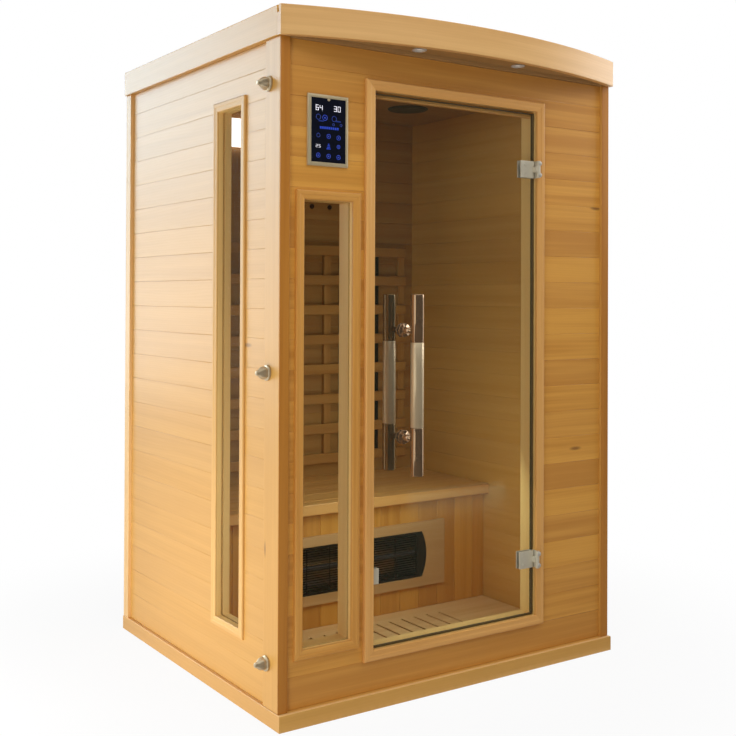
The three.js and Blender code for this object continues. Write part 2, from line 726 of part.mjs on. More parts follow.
function buildRoof() {
  const rebateBottom = cabinHeight - roofPanelDrop - roofPanelThickness - seam;
  const topWall = fasciaThickness - roofRebate;
  const levels = [roofBottom, cabinHeight];
  const rebateLevels = [rebateBottom, cabinHeight + 1];
  const bowSeam = seam + 0.4;

  const bow = prism(
    "z",
    [...bowLine(roofHalf, 0), ...bowLine(roofHalf, fasciaThickness).reverse()],
    levels,
  );
  const panelRoom = (inset) => [
    ...bowLine(roofHalf - inset, inset),
    [roofHalf - inset, rear - inset],
    [inset - roofHalf, rear - inset],
  ];
  const rebate = prism("z", panelRoom(topWall), rebateLevels);
  add("roof_fascia_front", cut(bow, rebate), hemlock);

  const sideOuter = roofHalf;
  const sideInner = roofHalf - fasciaThickness;
  const leftSide = prism("z", [
    [-sideOuter, bowY(sideOuter, fasciaThickness) + bowSeam],
    [-sideInner, bowY(sideInner, fasciaThickness) + bowSeam],
    [-sideInner, rear],
    [-sideOuter, rear],
  ], levels);
  const leftFascia = cut(leftSide, rebate);
  add("roof_fascia_left", leftFascia, paleHemlock);
  add("roof_fascia_right", leftFascia.mirror([1, 0, 0]), paleHemlock);
  const rearSide = block([seam - sideInner, sideInner - seam], [rear - fasciaThickness, rear], levels);
  add("roof_fascia_rear", cut(rearSide, rebate), hemlock);

  const downlightX = downlightSpacing / 2;
  const downlightY = bowY(downlightX, 0) + downlightInset;
  const speakerX = right - speakerFromRight;
  const speakerY = front + speakerFromFront;
  const ceilingTop = roofBottom + ceilingThickness;
  const canRadius = downlightDiameter / 2 - 4;
  const coneRadius = speakerDiameter / 2 - 12;
  const through = [roofBottom - 1, ceilingTop + 1];
  const ceilingInset = fasciaThickness + bowSeam;
  const soffit = block([-roofHalf, roofHalf], [-cabinDepth, front - 1], [roofBottom - 1, roofBottom + soffitRecess]);
  add("ceiling_panel", cut(
    prism("z", panelRoom(ceilingInset), [roofBottom, ceilingTop]),
    soffit,
    rod("z", canRadius + 1, through, [-downlightX, downlightY, 0]),
    rod("z", canRadius + 1, through, [downlightX, downlightY, 0]),
    rod("z", coneRadius + 1, through, [speakerX, speakerY, 0]),
  ), hemlock);

  const rim = roofBottom - seam;
  const lampRim = rim + soffitRecess;
  const lampShape = [
    [0, lampRim + 3],
    [canRadius - 4, lampRim + 3],
    [canRadius - 1, lampRim - 3],
    [downlightDiameter / 2, lampRim - 3],
    [downlightDiameter / 2, lampRim],
    [canRadius, lampRim],
    [canRadius, ceilingTop + 12],
    [0, ceilingTop + 12],
  ];
  add("left_downlight", turned("z", lampShape, [-downlightX, downlightY, 0]), brightMetal);
  add("right_downlight", turned("z", lampShape, [downlightX, downlightY, 0]), brightMetal);
  const speakerShape = [
    [0, rim - 7],
    [coneRadius, rim - 7],
    [speakerDiameter / 2, rim - 3],
    [speakerDiameter / 2, rim],
    [coneRadius, rim],
    [coneRadius, ceilingTop + 14],
    [0, ceilingTop + 14],
  ];
  add("ceiling_speaker", turned("z", speakerShape, [speakerX, speakerY, 0], 32), greyPlastic);

  const panelBottom = rebateBottom + seam;
  const grommetY = rear - fasciaThickness - grommetFromRear;
  const grommetX = -cabinWidth / 4;
  const neck = grommetDiameter / 2;
  const topPanel = prism("z", panelRoom(topWall + bowSeam), [panelBottom, panelBottom + roofPanelThickness]);
  const grommetHole = rod("z", neck + seam, [panelBottom - 1, panelBottom + roofPanelThickness + 1],
    [grommetX, grommetY, 0]);
  add("roof_top_panel", cut(topPanel, grommetHole), paleHemlock);
  const panelTop = panelBottom + roofPanelThickness + seam;
  const bushing = [
    [neck * 0.45, panelBottom],
    [neck, panelBottom],
    [neck, panelTop],
    [neck * 1.45, panelTop],
    [neck * 1.3, panelTop + 5],
    [neck * 0.45, panelTop + 5],
    [neck * 0.45, panelBottom],
  ];
  add("cable_grommet", turned("z", bushing, [grommetX, grommetY, 0]), blackPaint);

  const boxFloor = ceilingTop + seam;
  add("power_supply_box", block(
    [grommetX - powerBoxWidth / 2, grommetX + powerBoxWidth / 2],
    [grommetY - powerBoxFromGrommet - powerBoxDepth, grommetY - powerBoxFromGrommet],
    [boxFloor, boxFloor + powerBoxHeight],
  ), silverPaint);
}

// Bench: seat on the front panel and the rear cleat, with the leg heater behind its guard.
function roundedEnds(half, low, high, bulge) {
  const rise = (high - low) / 2;
  const radius = (rise ** 2 + bulge ** 2) / (2 * bulge);
  const sweep = Math.asin(rise / radius);
  const steps = 8;
  const rightEnd = [];
  for (let i = 0; i <= steps; i++) {
    const angle = sweep * (2 * i / steps - 1);
    rightEnd.push([half + bulge - radius + radius * Math.cos(angle), (low + high) / 2 + radius * Math.sin(angle)]);
  }
  return [...rightEnd, ...rightEnd.map(([x, z]) => [-x, z]).reverse()];
}

function buildBench() {
  const seatX = [innerLeft + seam, innerRight - seam];
  const seat = block(seatX, [seatFront, innerRear - seam], [seatBottom, seatTop]);
  const seatGrooves = [];
  for (let y = seatFront + seatFirstBoard; y < innerRear - seatLastBoard; y += seatBoardPitch) {
    seatGrooves.push(prism("x", [
      [y - grooveWidth / 2, seatTop],
      [y, seatTop - grooveDepth],
      [y + grooveWidth / 2, seatTop],
    ], [innerLeft - 1, innerRight + 1]));
  }
  add("bench_seat", cut(seat, ...seatGrooves), paleHemlock);

  const panelBack = benchPanelFront + benchPanelThickness;
  const panel = block(seatX, [benchPanelFront, panelBack], [wallBottom, seatBottom - seam]);
  const panelGrooves = [];
  for (let x = boardPitch / 2; x < innerRight - 20; x += boardPitch) {
    for (const place of [x, -x]) {
      panelGrooves.push(prism("z", [
        [place - grooveWidth / 2, benchPanelFront],
        [place, benchPanelFront + grooveDepth],
        [place + grooveWidth / 2, benchPanelFront],
      ], [0, seatBottom + 1]));
    }
  }
  const low = heaterMiddle - guardHeight / 2;
  const high = heaterMiddle + guardHeight / 2;
  const half = guardWidth / 2;
  const opening = (grow) => swapped(roundedEnds(half + grow, low - grow, high + grow, guardBulge));
  const heaterHole = prism("y", opening(seam), [benchPanelFront - 40, panelBack + 1]);
  add("bench_front_panel", cut(panel, ...panelGrooves, heaterHole), hemlock);

  const surroundFront = benchPanelFront - seam - heaterSurroundThickness;
  const surround = block(
    [-heaterSurroundWidth / 2, heaterSurroundWidth / 2],
    [surroundFront, benchPanelFront - seam],
    [heaterMiddle - heaterSurroundHeight / 2, heaterMiddle + heaterSurroundHeight / 2],
  );
  add("bench_heater_surround", cut(surround, heaterHole), paleHemlock);

  const guardFront = surroundFront + 2;
  const guardBack = guardFront + guardThickness;
  const rimOuter = prism("y", opening(0), [guardFront, guardBack]);
  const rimInner = prism("y", opening(-guardRim), [guardFront - 1, guardBack + 1]);
  const barPitch = (guardHeight - 2 * guardRim) / (guardBars + 1);
  const bars = [];
  for (let i = 1; i <= guardBars; i++) {
    const z = low + guardRim + i * barPitch;
    bars.push(block([-half - 1, half + 1], [guardFront + 0.5, guardFront + 2.5], [z - 1, z + 1]));
  }
  const ties = [];
  for (let i = 0; i < guardTies; i++) {
    const x = (i / (guardTies - 1) - 0.5) * (guardWidth - 4 * guardRim);
    ties.push(block([x - 1.5, x + 1.5], [guardFront + 2, guardBack - 0.5], [low + 2, high - 2]));
  }
  const endPlates = cut(
    prism("y", opening(-1), [guardFront + 0.5, guardBack - 0.5]),
    block([guardRim + 6 - half, half - guardRim - 6], [guardFront - 1, guardBack + 1], [low - 1, high + 1]),
  );
  add("bench_heater_guard", join(cut(rimOuter, rimInner), endPlates, ...bars, ...ties), blackPaint);

  const troughFront = guardBack + seam;
  const trough = (inset) => {
    const rise = guardHeight / 2 - inset;
    const depth = reflectorDepth - inset;
    const points = [];
    for (let i = 0; i <= 14; i++) {
      const angle = Math.PI * (i / 14 - 0.5);
      points.push([troughFront + depth * Math.cos(angle), heaterMiddle + rise * Math.sin(angle)]);
    }
    return points;
  };
  const shell = prism("x", trough(seam), [-half, half]);
  const hollow = prism("x", [
    [troughFront - 1, heaterMiddle - guardHeight / 2 + reflectorWall + seam],
    ...trough(reflectorWall + seam),
    [troughFront - 1, heaterMiddle + guardHeight / 2 - reflectorWall - seam],
  ], [reflectorWall - half, half - reflectorWall]);
  const elementY = troughFront + reflectorDepth * 0.45;
  const elementRadius = elementDiameter / 2;
  const elementHole = rod("x", elementRadius + seam, [-half - 1, half + 1], [0, elementY, heaterMiddle]);
  add("bench_heater_reflector", cut(shell, hollow, elementHole), brightMetal);
  add("bench_heater_element", rod("x", elementRadius, [-half, half], [0, elementY, heaterMiddle]), greyPlastic);
}

// Backrest: slats across uprights on the rear wall, with a heater in every bay between them.
function buildBackrest() {
  const latticeLeft = innerLeft + latticeSideMargin;
  const latticeRight = innerRight - latticeSideMargin;
  const lowest = seatTop + latticeAboveSeat;
  const highest = lowest + (slatCount - 1) * slatPitch + slatHeight;
  const uprightBack = innerRear - seam;
  const uprightFront = uprightBack - uprightDepth;
  const span = latticeRight - latticeLeft - uprightWidth;
  const uprightX = [];
  for (let i = 0; i < uprightCount; i++) uprightX.push(latticeLeft + (i * span) / (uprightCount - 1));
  const members = uprightX.map((x) => block(
    [x, x + uprightWidth], [uprightFront, uprightBack], [lowest, highest],
  ));
  for (let i = 0; i < slatCount; i++) {
    const z = lowest + i * slatPitch;
    members.push(block(
      [latticeLeft, latticeRight], [uprightFront - slatThickness, uprightFront + 0.5], [z, z + slatHeight],
    ));
  }
  add("backrest_lattice", join(...members), hemlock);

  const bays = ["left", "centre", "right"];
  bays.forEach((bay, i) => {
    const middle = (uprightX[i] + uprightWidth + uprightX[i + 1]) / 2 + backHeaterShifts[i];
    add(`${bay}_back_heater`, block(
      [middle - backHeaterWidth / 2, middle + backHeaterWidth / 2],
      [uprightBack - backHeaterThickness, uprightBack],
      [lowest + slatHeight / 2, highest - slatHeight / 2],
    ), blackPaint);
  });

  const lampX = left + lampFromLeft;
  const lampZ = roofBottom - lampFromTop;
  add("wall_lamp", block(
    [lampX - lampWidth / 2, lampX + lampWidth / 2],
    [innerRear - seam - lampDepth, innerRear - seam],
    [lampZ - lampHeight / 2, lampZ + lampHeight / 2],
  ), opalPlastic);
}

buildBase();
buildSideWalls();
buildRearWall();
buildFrontWall();
buildDoorFrame();
buildDoor();
buildControl();
buildRoof();
buildBench();
buildBackrest();

export default cabin;
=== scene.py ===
import bmesh
import bpy
import numpy as np
from mathutils import Matrix, Vector


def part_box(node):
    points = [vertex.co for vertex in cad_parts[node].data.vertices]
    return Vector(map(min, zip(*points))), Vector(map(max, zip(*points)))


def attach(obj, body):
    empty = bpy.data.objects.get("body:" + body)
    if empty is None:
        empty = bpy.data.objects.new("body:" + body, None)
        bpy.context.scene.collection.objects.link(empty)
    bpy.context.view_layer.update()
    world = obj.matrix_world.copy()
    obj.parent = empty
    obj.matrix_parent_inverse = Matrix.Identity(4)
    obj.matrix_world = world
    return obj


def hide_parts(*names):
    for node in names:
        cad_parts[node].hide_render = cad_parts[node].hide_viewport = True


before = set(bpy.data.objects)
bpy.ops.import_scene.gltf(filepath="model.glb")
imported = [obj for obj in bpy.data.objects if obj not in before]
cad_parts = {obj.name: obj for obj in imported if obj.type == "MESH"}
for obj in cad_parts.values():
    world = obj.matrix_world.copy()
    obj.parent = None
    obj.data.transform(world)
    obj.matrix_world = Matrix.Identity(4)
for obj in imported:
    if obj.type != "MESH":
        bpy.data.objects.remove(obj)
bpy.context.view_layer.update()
print("frame loaded:", len(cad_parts), "nodes")
mm = 0.001
dice = np.random.default_rng(11)


def box(node):
    lo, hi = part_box(node)
    return np.array(lo), np.array(hi)


# shapes
def softened(points, radius, steps=2):
    # every corner P becomes the curve (1-t)^2 A + 2t(1-t) P + t^2 B
    # A and B lie on its two sides, a radius away from P
    p = np.asarray(points, float)
    r = np.broadcast_to(np.asarray(radius, float), (len(p),))[:, None]
    before, after = np.roll(p, 1, 0) - p, np.roll(p, -1, 0) - p
    a = p + before / np.linalg.norm(before, axis=1, keepdims=True) * r
    b = p + after / np.linalg.norm(after, axis=1, keepdims=True) * r
    t = np.linspace(0, 1, steps + 1)[None, :, None]
    curve = (1 - t) ** 2 * a[:, None] + 2 * t * (1 - t) * p[:, None] + t ** 2 * b[:, None]
    smooth = np.tile(np.r_[np.ones(steps, bool), False], len(p))
    return curve.reshape(-1, 2), smooth


def newStock():
    return {"co": [], "tone": [], "face": [], "size": [], "uv": [], "smooth": [], "count": 0}


def pathLength(points):
    # distance from the first point to each point in turn, and back round to the first
    return np.r_[0, np.cumsum(np.linalg.norm(np.diff(np.vstack([points, points[:1]]), axis=0), axis=1))]


def carry(stock, sections, tone=0.5, smooth=None, ring=True, loop=False, caps=True, shift=0.0):
    # grid of sections: point (i, j) is outline point j at station i
    # u runs along the stations and v round the outline
    s = np.asarray(sections, float)
    m, n = s.shape[:2]
    i, j = np.meshgrid(np.arange(m if loop else m - 1), np.arange(n if ring else n - 1), indexing="ij")
    i, j = i.ravel(), j.ravel()
    i1, j1 = (i + 1) % m, (j + 1) % n
    quad = np.stack([i * n + j, i * n + j1, i1 * n + j1, i1 * n + j], 1)
    along = pathLength(s.mean(1)) + shift
    girth = pathLength(s[np.argmax(np.ptp(s.reshape(m, -1, 3), axis=1).sum(1))])
    turns = ((0, 0), (0, 1), (1, 1), (1, 0))
    uv = np.stack([np.stack([along[i + di], girth[j + dj]], 1) for di, dj in turns], 1)
    flags = np.ones(n, bool) if smooth is None else np.asarray(smooth)
    faces, uvs, soft = [quad.ravel()], [uv.reshape(-1, 2)], [flags[j]]
    sizes = [np.full(len(quad), 4)]
    flat = s.reshape(-1, 3)
    centre = flat.mean(0)
    a, b, c, d = (flat[quad[:, k]] - centre for k in range(4))
    volume = (a * np.cross(b, c)).sum() + (a * np.cross(c, d)).sum()
    if caps and ring and not loop:
        for order, at in ((np.arange(n)[::-1], 0), (np.arange(n), m - 1)):
            end = s[at][order]
            e1 = end[1] - end[0]
            e1 /= max(np.linalg.norm(e1), 1e-9)
            spread = end - end.mean(0)
            e2 = np.linalg.svd(spread, full_matrices=False)[2][0]
            faces.append(at * n + order)
            uvs.append(np.stack([spread @ e1 * 0.3 + shift, spread @ e2], 1))
            sizes.append(np.array([n]))
            soft.append(np.array([False]))
    if volume < 0:  # inside out: turn every face round
        counts = np.concatenate(sizes)
        flip = np.concatenate([np.arange(e - 1, e - k - 1, -1) for e, k in zip(np.cumsum(counts), counts)])
        faces, uvs = [np.concatenate(faces)[flip]], [np.concatenate(uvs)[flip]]
    stock["face"].append(np.concatenate(faces) + stock["count"])
    stock["uv"].append(np.concatenate(uvs))
    stock["size"].append(np.concatenate(sizes))
    stock["smooth"].append(np.concatenate(soft))
    stock["co"].append(flat)
    stock["tone"].append(np.full(len(flat), tone))
    stock["count"] += len(flat)


others = {0: (1, 2), 1: (2, 0), 2: (0, 1)}  # the two axes across each axis


def timber(stock, lo, hi, axis, radius=1.5 * mm, tone=None, corners=None):
    # straight stick: softened rectangle carried along one axis, its ends drawn in by 0.7 of the radius
    lo, hi = np.asarray(lo, float), np.asarray(hi, float)
    b, c = others[axis]
    rect = np.array([[lo[b], lo[c]], [hi[b], lo[c]], [hi[b], hi[c]], [lo[b], hi[c]]])
    radii = np.full(4, radius) if corners is None else np.asarray(corners, float)
    outline, smooth = softened(rect, np.maximum(radii, 1e-5))
    middle = rect.mean(0)
    half = (rect[2] - rect[0]) / 2
    ease = 0.7 * radius
    drawn = middle + (outline - middle) * (1 - ease / half)
    stations = [lo[axis], lo[axis] + ease, hi[axis] - ease, hi[axis]]
    sections = np.zeros((4, len(outline), 3))
    for k, (at, shape) in enumerate(zip(stations, (drawn, outline, outline, drawn))):
        sections[k, :, axis], sections[k, :, b], sections[k, :, c] = at, shape[:, 0], shape[:, 1]
    carry(stock, sections, dice.random() if tone is None else tone, smooth, shift=dice.random() * 40)


def turned(stock, profile, centre, axis, count=40, wave=0.0):
    # profile (radius, height) spun about an axis: x = r cos a, y = r sin a, z = h
    # a wave makes five lobes: r (1 + wave cos 5a)
    p = np.asarray(profile, float)
    a = np.linspace(0, 2 * np.pi, count, endpoint=False)[:, None]
    b, c = others[axis]
    sections = np.zeros((count, len(p), 3))
    r = p[None, :, 0] * (1 + wave * np.cos(5 * a))
    sections[:, :, b] = centre[b] + r * np.cos(a)
    sections[:, :, c] = centre[c] + r * np.sin(a)
    sections[:, :, axis] = centre[axis] + p[None, :, 1]
    carry(stock, sections, ring=False, loop=True, caps=False)


def moulding(stock, place, spanA, spanB, outline, smooth=None):
    # four mitred members: outline point (out, depth) moves out from the opening's corner along both its sides
    o = np.asarray(outline, float)
    (a0, a1), (b0, b1) = spanA, spanB
    corners = np.array([[a0, b0], [a1, b0], [a1, b1], [a0, b1]])
    ways = np.array([[-1, -1], [1, -1], [1, 1], [-1, 1]])
    at = [place(c[0] + w[0] * o[:, 0], c[1] + w[1] * o[:, 0], o[:, 1]) for c, w in zip(corners, ways)]
    for k in range(4):
        carry(stock, [at[k], at[(k + 1) % 4]], dice.random(), smooth, caps=False, shift=dice.random() * 40)


def makePiece(stock, name, material, body="cabin", replaced=(), merge=False):
    # mesh from the stock's arrays, with its grain map and a tone for each board
    co = np.concatenate(stock["co"]).astype(np.float32)
    face, size = np.concatenate(stock["face"]), np.concatenate(stock["size"])
    mesh = bpy.data.meshes.new(name)
    mesh.vertices.add(len(co))
    mesh.vertices.foreach_set("co", co.ravel())
    mesh.loops.add(len(face))
    mesh.loops.foreach_set("vertex_index", face.astype(np.int32))
    mesh.polygons.add(len(size))
    mesh.polygons.foreach_set("loop_start", np.r_[0, np.cumsum(size)[:-1]].astype(np.int32))
    mesh.polygons.foreach_set("use_smooth", np.concatenate(stock["smooth"]))
    grain, tone = mesh.uv_layers.new(name="grain"), mesh.attributes.new("tone", "FLOAT", "POINT")
    grain.data.foreach_set("uv", np.concatenate(stock["uv"]).astype(np.float32).ravel())
    tone.data.foreach_set("value", np.concatenate(stock["tone"]).astype(np.float32))
    mesh.update(calc_edges=True)
    mesh.validate()
    if merge:
        work = bmesh.new()
        work.from_mesh(mesh)
        bmesh.ops.remove_doubles(work, verts=work.verts, dist=1e-6)
        bmesh.ops.recalc_face_normals(work, faces=work.faces)
        work.to_mesh(mesh)
        work.free()
    piece = bpy.data.objects.new(name, mesh)
    bpy.context.scene.collection.objects.link(piece)
    mesh.materials.append(material)
    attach(piece, body)
    if replaced:
        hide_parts(*replaced)
    return piece


def dress(node, material, bevel=0.0):
    # CAD node kept as it is, with its own finish and softened edges
    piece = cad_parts[node]
    piece.material_slots[0].material = material
    if bevel:
        piece.modifiers.new("weld", "WELD").merge_threshold = 1e-5
        edge = piece.modifiers.new("edge", "BEVEL")
        edge.width, edge.segments, edge.limit_method, edge.angle_limit = bevel, 2, "ANGLE", 0.6


# shader maths
class Sock:
    # one socket, whose operators add Math nodes
    def __init__(self, graph, socket):
        self.graph, self.socket = graph, socket

    def math(self, operation, *values):
        return self.graph.node("ShaderNodeMath", {"operation": operation}, dict(enumerate(values)))

    def __add__(self, other): return self.math("ADD", self, other)
    def __radd__(self, other): return self.math("ADD", other, self)
    def __sub__(self, other): return self.math("SUBTRACT", self, other)
    def __rsub__(self, other): return self.math("SUBTRACT", other, self)
    def __mul__(self, other): return self.math("MULTIPLY", self, other)
    def __rmul__(self, other): return self.math("MULTIPLY", other, self)
    def __pow__(self, other): return self.math("POWER", self, other)
    def __gt__(self, other): return self.math("GREATER_THAN", self, other)


class Graph:
    # one material and its nodes
    def __init__(self, name, **sockets):
        self.material = bpy.data.materials.new(name)
        self.material.use_nodes = True
        self.tree = self.material.node_tree
        self.shader = self.tree.nodes["Principled BSDF"]
        for key, value in sockets.items():
            self.set(key, value)

    def set(self, key, value):
        self.plug(self.shader.inputs[key.replace("_", " ")], value)

    def plug(self, socket, value):
        if isinstance(value, Sock):
            self.tree.links.new(value.socket, socket)
        elif socket.type == "RGBA" and len(value) == 3:
            socket.default_value = (*value, 1)
        else:
            socket.default_value = value

    def node(self, kind, settings=None, inputs=None, out=0):
        made = self.tree.nodes.new(kind)
        for key, value in (settings or {}).items():
            setattr(made, key, value)
        for key, value in (inputs or {}).items():
            self.plug(made.inputs[key], value)
        return Sock(self, made.outputs[out])

    def split(self, vector):
        parts = self.node("ShaderNodeSeparateXYZ", None, {0: vector})
        return [Sock(self, parts.socket.node.outputs[k]) for k in range(3)]

    def join(self, x, y, z):
        return self.node("ShaderNodeCombineXYZ", None, {0: x, 1: y, 2: z})

    def noise(self, vector, scale=1.0, detail=2.0, rough=0.5):
        return self.node("ShaderNodeTexNoise", None,
                         {"Vector": vector, "Scale": scale, "Detail": detail, "Roughness": rough})

    def blend(self, factor, a, b):
        return self.node("ShaderNodeMix", {"data_type": "RGBA"}, {0: factor, 6: a, 7: b}, 2)

    def between(self, value, low, high, to0=0.0, to1=1.0):
        return self.node("ShaderNodeMapRange", {"interpolation_type": "SMOOTHSTEP"},
                         {"Value": value, "From Min": low, "From Max": high, "To Min": to0, "To Max": to1})

    def bump(self, height, strength, distance):
        lift = {"Height": height, "Strength": strength, "Distance": distance}
        self.set("Normal", self.node("ShaderNodeBump", None, lift))

    def place(self):  # Object coordinates
        return self.node("ShaderNodeTexCoord", None, None, 3)


# finishes
def darker(colour, share):  # same hue at a share of its brightness
    return tuple(share * c for c in colour)


def woodFinish(name, look, along=None):
    # stretched noise gives streaks and fibre, bent bands give growth lines, and each board has its own tone
    # look: pale ground, riper streaks, growth lines and worn tint
    # along: the grain's axis on a CAD node, which has no grain map
    g = Graph(name, IOR=1.5, Specular_IOR_Level=0.6)
    if along is None:
        u, v = g.split(g.node("ShaderNodeUVMap", {"uv_map": "grain"}))[:2]
        w = 0.0
        tone = g.node("ShaderNodeAttribute", {"attribute_name": "tone"}, None, 2)
    else:
        axes = g.split(g.place())
        u, v, w = axes[along], axes[(along + 1) % 3], axes[(along + 2) % 3]
        step = ((v + w) * 9.0).math("FLOOR", (v + w) * 9.0)
        tone = g.node("ShaderNodeTexWhiteNoise", {"noise_dimensions": "1D"}, {"W": step})
    shift = tone * 23.0
    solid = along is not None
    streak = g.noise(g.join(u * 0.9 + shift, v * 34.0 + shift, w * 34.0 if solid else shift), 1.0, 3.0, 0.55)
    fibre = g.noise(g.join(u * 11.0, v * 620.0, w * 620.0 if solid else 0.0), 1.0, 2.0, 0.6)
    bend = g.noise(g.join(u * 0.9 + shift, v * 7.0, shift), 1.0, 1.5, 0.5)
    band = v * 120.0 + (w * 120.0 if solid else 0.0) + bend * 9.0
    rings = (band - band.math("FLOOR", band)) ** 3.0
    cells = g.node("ShaderNodeTexVoronoi", None,
                   {"Vector": g.join(u * 2.2 + shift, v * 9.0, shift), "Scale": 1.0})
    rare = g.node("ShaderNodeSeparateColor", None, {0: Sock(g, cells.socket.node.outputs["Color"])})
    knot = g.between(cells, 0.075, 0.02) * (rare > 0.86)
    ripe = g.between(streak + (tone - 0.5) * look.get("spread", 0.28), 0.24, 0.8)
    colour = g.blend(ripe, look["pale"], look["ripe"])
    colour = g.blend(rings * 0.08 + (fibre - 0.5) * 0.14 + 0.02, colour, look["line"])
    colour = g.blend(knot * 0.75, colour, (0.16, 0.05, 0.012))
    colour = g.blend(g.between(tone, 0.1, 0.95) * 0.16, colour, look["worn"])
    g.set("Base Color", colour)
    g.set("Roughness", fibre * 0.16 + (look["rough"] - 0.08) + rings * 0.06)
    g.bump(rings * 0.35 + fibre * 0.65, 0.22, 0.0004)
    return g.material


def metalFinish(name, colour, rough, along=2, brushed=1.0, metallic=1.0):
    # fine scratches: noise stretched along one axis varies roughness and bump
    g = Graph(name, Metallic=metallic)
    axes = g.split(g.place())
    stretched = [axis * (25.0 if k == along else 900.0) for k, axis in enumerate(axes)]
    scratch = g.noise(g.join(*stretched), 1.0, 2.0, 0.6)
    smudge = g.noise(g.place(), 14.0, 2.0, 0.5)
    g.set("Base Color", g.blend(smudge * 0.35, colour, darker(colour, 0.72)))
    g.set("Roughness", scratch * 0.14 * brushed + smudge * 0.06 + (rough - 0.08))
    g.bump(scratch, 0.12 * brushed, 0.0002)
    return g.material


def glassFinish(name, tint, cover, gloss=0.5):
    # thin tinted sheet: each face covers a share of what is behind it and keeps a clear gloss
    g = Graph(name, IOR=1.15, Alpha=cover, Specular_IOR_Level=gloss)
    film = g.noise(g.place(), 3.0, 3.0, 0.6)
    g.set("Base Color", g.blend(film * 0.5, tint, darker(tint, 0.7)))
    g.set("Roughness", g.between(film, 0.45, 0.8, 0.01, 0.04))
    return g.material


def plainFinish(name, colour, rough, grain=400.0, depth=0.0002, metallic=0.0):
    # moulded or painted skin: light mottling with a fine texture
    g = Graph(name, Metallic=metallic)
    cloud = g.noise(g.place(), 9.0, 3.0, 0.55)
    grit = g.noise(g.place(), grain, 2.0, 0.5)
    g.set("Base Color", g.blend(cloud * 0.4, colour, darker(colour, 0.78)))
    g.set("Roughness", cloud * 0.1 + grit * 0.08 + (rough - 0.09))
    g.bump(grit, 0.2, depth)
    return g.material


def glowFinish(name, colour, strength):
    # faintly clouded opal or lit marks
    g = Graph(name, Roughness=0.35)
    cloud = g.noise(g.place(), 60.0, 2.0, 0.5)
    g.set("Base Color", g.blend(cloud * 0.3, colour, darker(colour, 0.85)))
    g.set("Emission Color", g.blend(cloud * 0.2, colour, darker(colour, 0.85)))
    g.set("Emission Strength", strength)
    return g.material


hemlock = {
    "pale": (0.749, 0.3597, 0.0588), "ripe": (0.5292, 0.2056, 0.0204), "line": (0.36, 0.125, 0.014),
    "worn": (0.82, 0.47, 0.14), "spread": 0.4, "rough": 0.4}
floorTone = {
    "pale": (0.88, 0.57, 0.24), "ripe": (0.76, 0.44, 0.155), "line": (0.52, 0.26, 0.08),
    "worn": (0.9, 0.68, 0.38), "rough": 0.45}
wallWood = woodFinish("hemlock_boards", hemlock)
trimWood = woodFinish("hemlock_trim", {
    "pale": (0.71, 0.345, 0.072), "ripe": (0.55, 0.222, 0.03), "line": (0.36, 0.125, 0.015),
    "worn": (0.82, 0.48, 0.15), "rough": 0.36})
# paler, cooler copy of the wood for the front and rear fascias, partly painted sheen
capSheenWood = woodFinish("hemlock_cap", {
    "pale": (0.80, 0.47, 0.17), "ripe": (0.66, 0.34, 0.10), "line": (0.45, 0.20, 0.05),
    "worn": (0.88, 0.64, 0.34), "rough": 0.4})
# darker copy of the wood for the front posts' facings: painted shade at the front corners
shadedFacingWood = woodFinish("hemlock_facing_painted_shade", {
    "pale": (0.53, 0.21, 0.024), "ripe": (0.41, 0.138, 0.01), "line": (0.28, 0.085, 0.007),
    "worn": (0.6, 0.27, 0.05), "rough": 0.4})
# darker copy of the wall wood for the inside of the rear wall: painted shade behind the backrest
shadedRearWood = woodFinish("hemlock_rear_painted_shade", {
    "pale": (0.46, 0.225, 0.055), "ripe": (0.35, 0.14, 0.026), "line": (0.24, 0.085, 0.014),
    "worn": (0.52, 0.31, 0.12), "rough": 0.45})
sideWood = woodFinish("hemlock_side", {
    "pale": (0.70, 0.375, 0.085), "ripe": (0.61, 0.305, 0.058), "line": (0.46, 0.20, 0.03),
    "worn": (0.80, 0.50, 0.18), "rough": 0.4})
# darker copy of the wall wood for the backrest slats: painted shade inside the cabin
shadedSlatWood = woodFinish("hemlock_slats_painted_shade", {
    "pale": (0.52, 0.255, 0.060), "ripe": (0.40, 0.165, 0.028), "line": (0.27, 0.095, 0.015),
    "worn": (0.58, 0.35, 0.13), "rough": 0.45})
# darker copy of the wood for the ceiling panel: painted shade on the soffit and ceiling
shadedCeilingWood = woodFinish("hemlock_ceiling_painted_shade", {
    "pale": (0.44, 0.25, 0.092), "ripe": (0.35, 0.175, 0.05), "line": (0.25, 0.10, 0.026),
    "worn": (0.50, 0.33, 0.16), "rough": 0.45}, 0)
floorWood = woodFinish("hemlock_floor", floorTone, 0)
surroundWood = woodFinish("hemlock_surround", {
    "pale": (0.63, 0.37, 0.135), "ripe": (0.52, 0.27, 0.08), "line": (0.36, 0.16, 0.04),
    "worn": (0.7, 0.5, 0.27), "rough": 0.42}, 0)
seatWood = woodFinish("hemlock_seat", {
    "pale": (0.82, 0.44, 0.125), "ripe": (0.68, 0.3, 0.062), "line": (0.44, 0.17, 0.03),
    "worn": (0.86, 0.56, 0.24), "rough": 0.4})
# pale floor wood for strips that stand in for light: painted highlight on the plinth's ledge, painted light
# on the rear wall's end steps
paintedLightWood = woodFinish("hemlock_painted_light_strip", floorTone)
# very pale copy of the wood for the window and door linings: painted light on reveals that lie behind the
# glass
paintedLightLiningWood = woodFinish("hemlock_lining_painted_light", {
    "pale": (0.93, 0.63, 0.22), "ripe": (0.84, 0.5, 0.15), "line": (0.62, 0.32, 0.08),
    "worn": (0.93, 0.7, 0.36), "rough": 0.5})
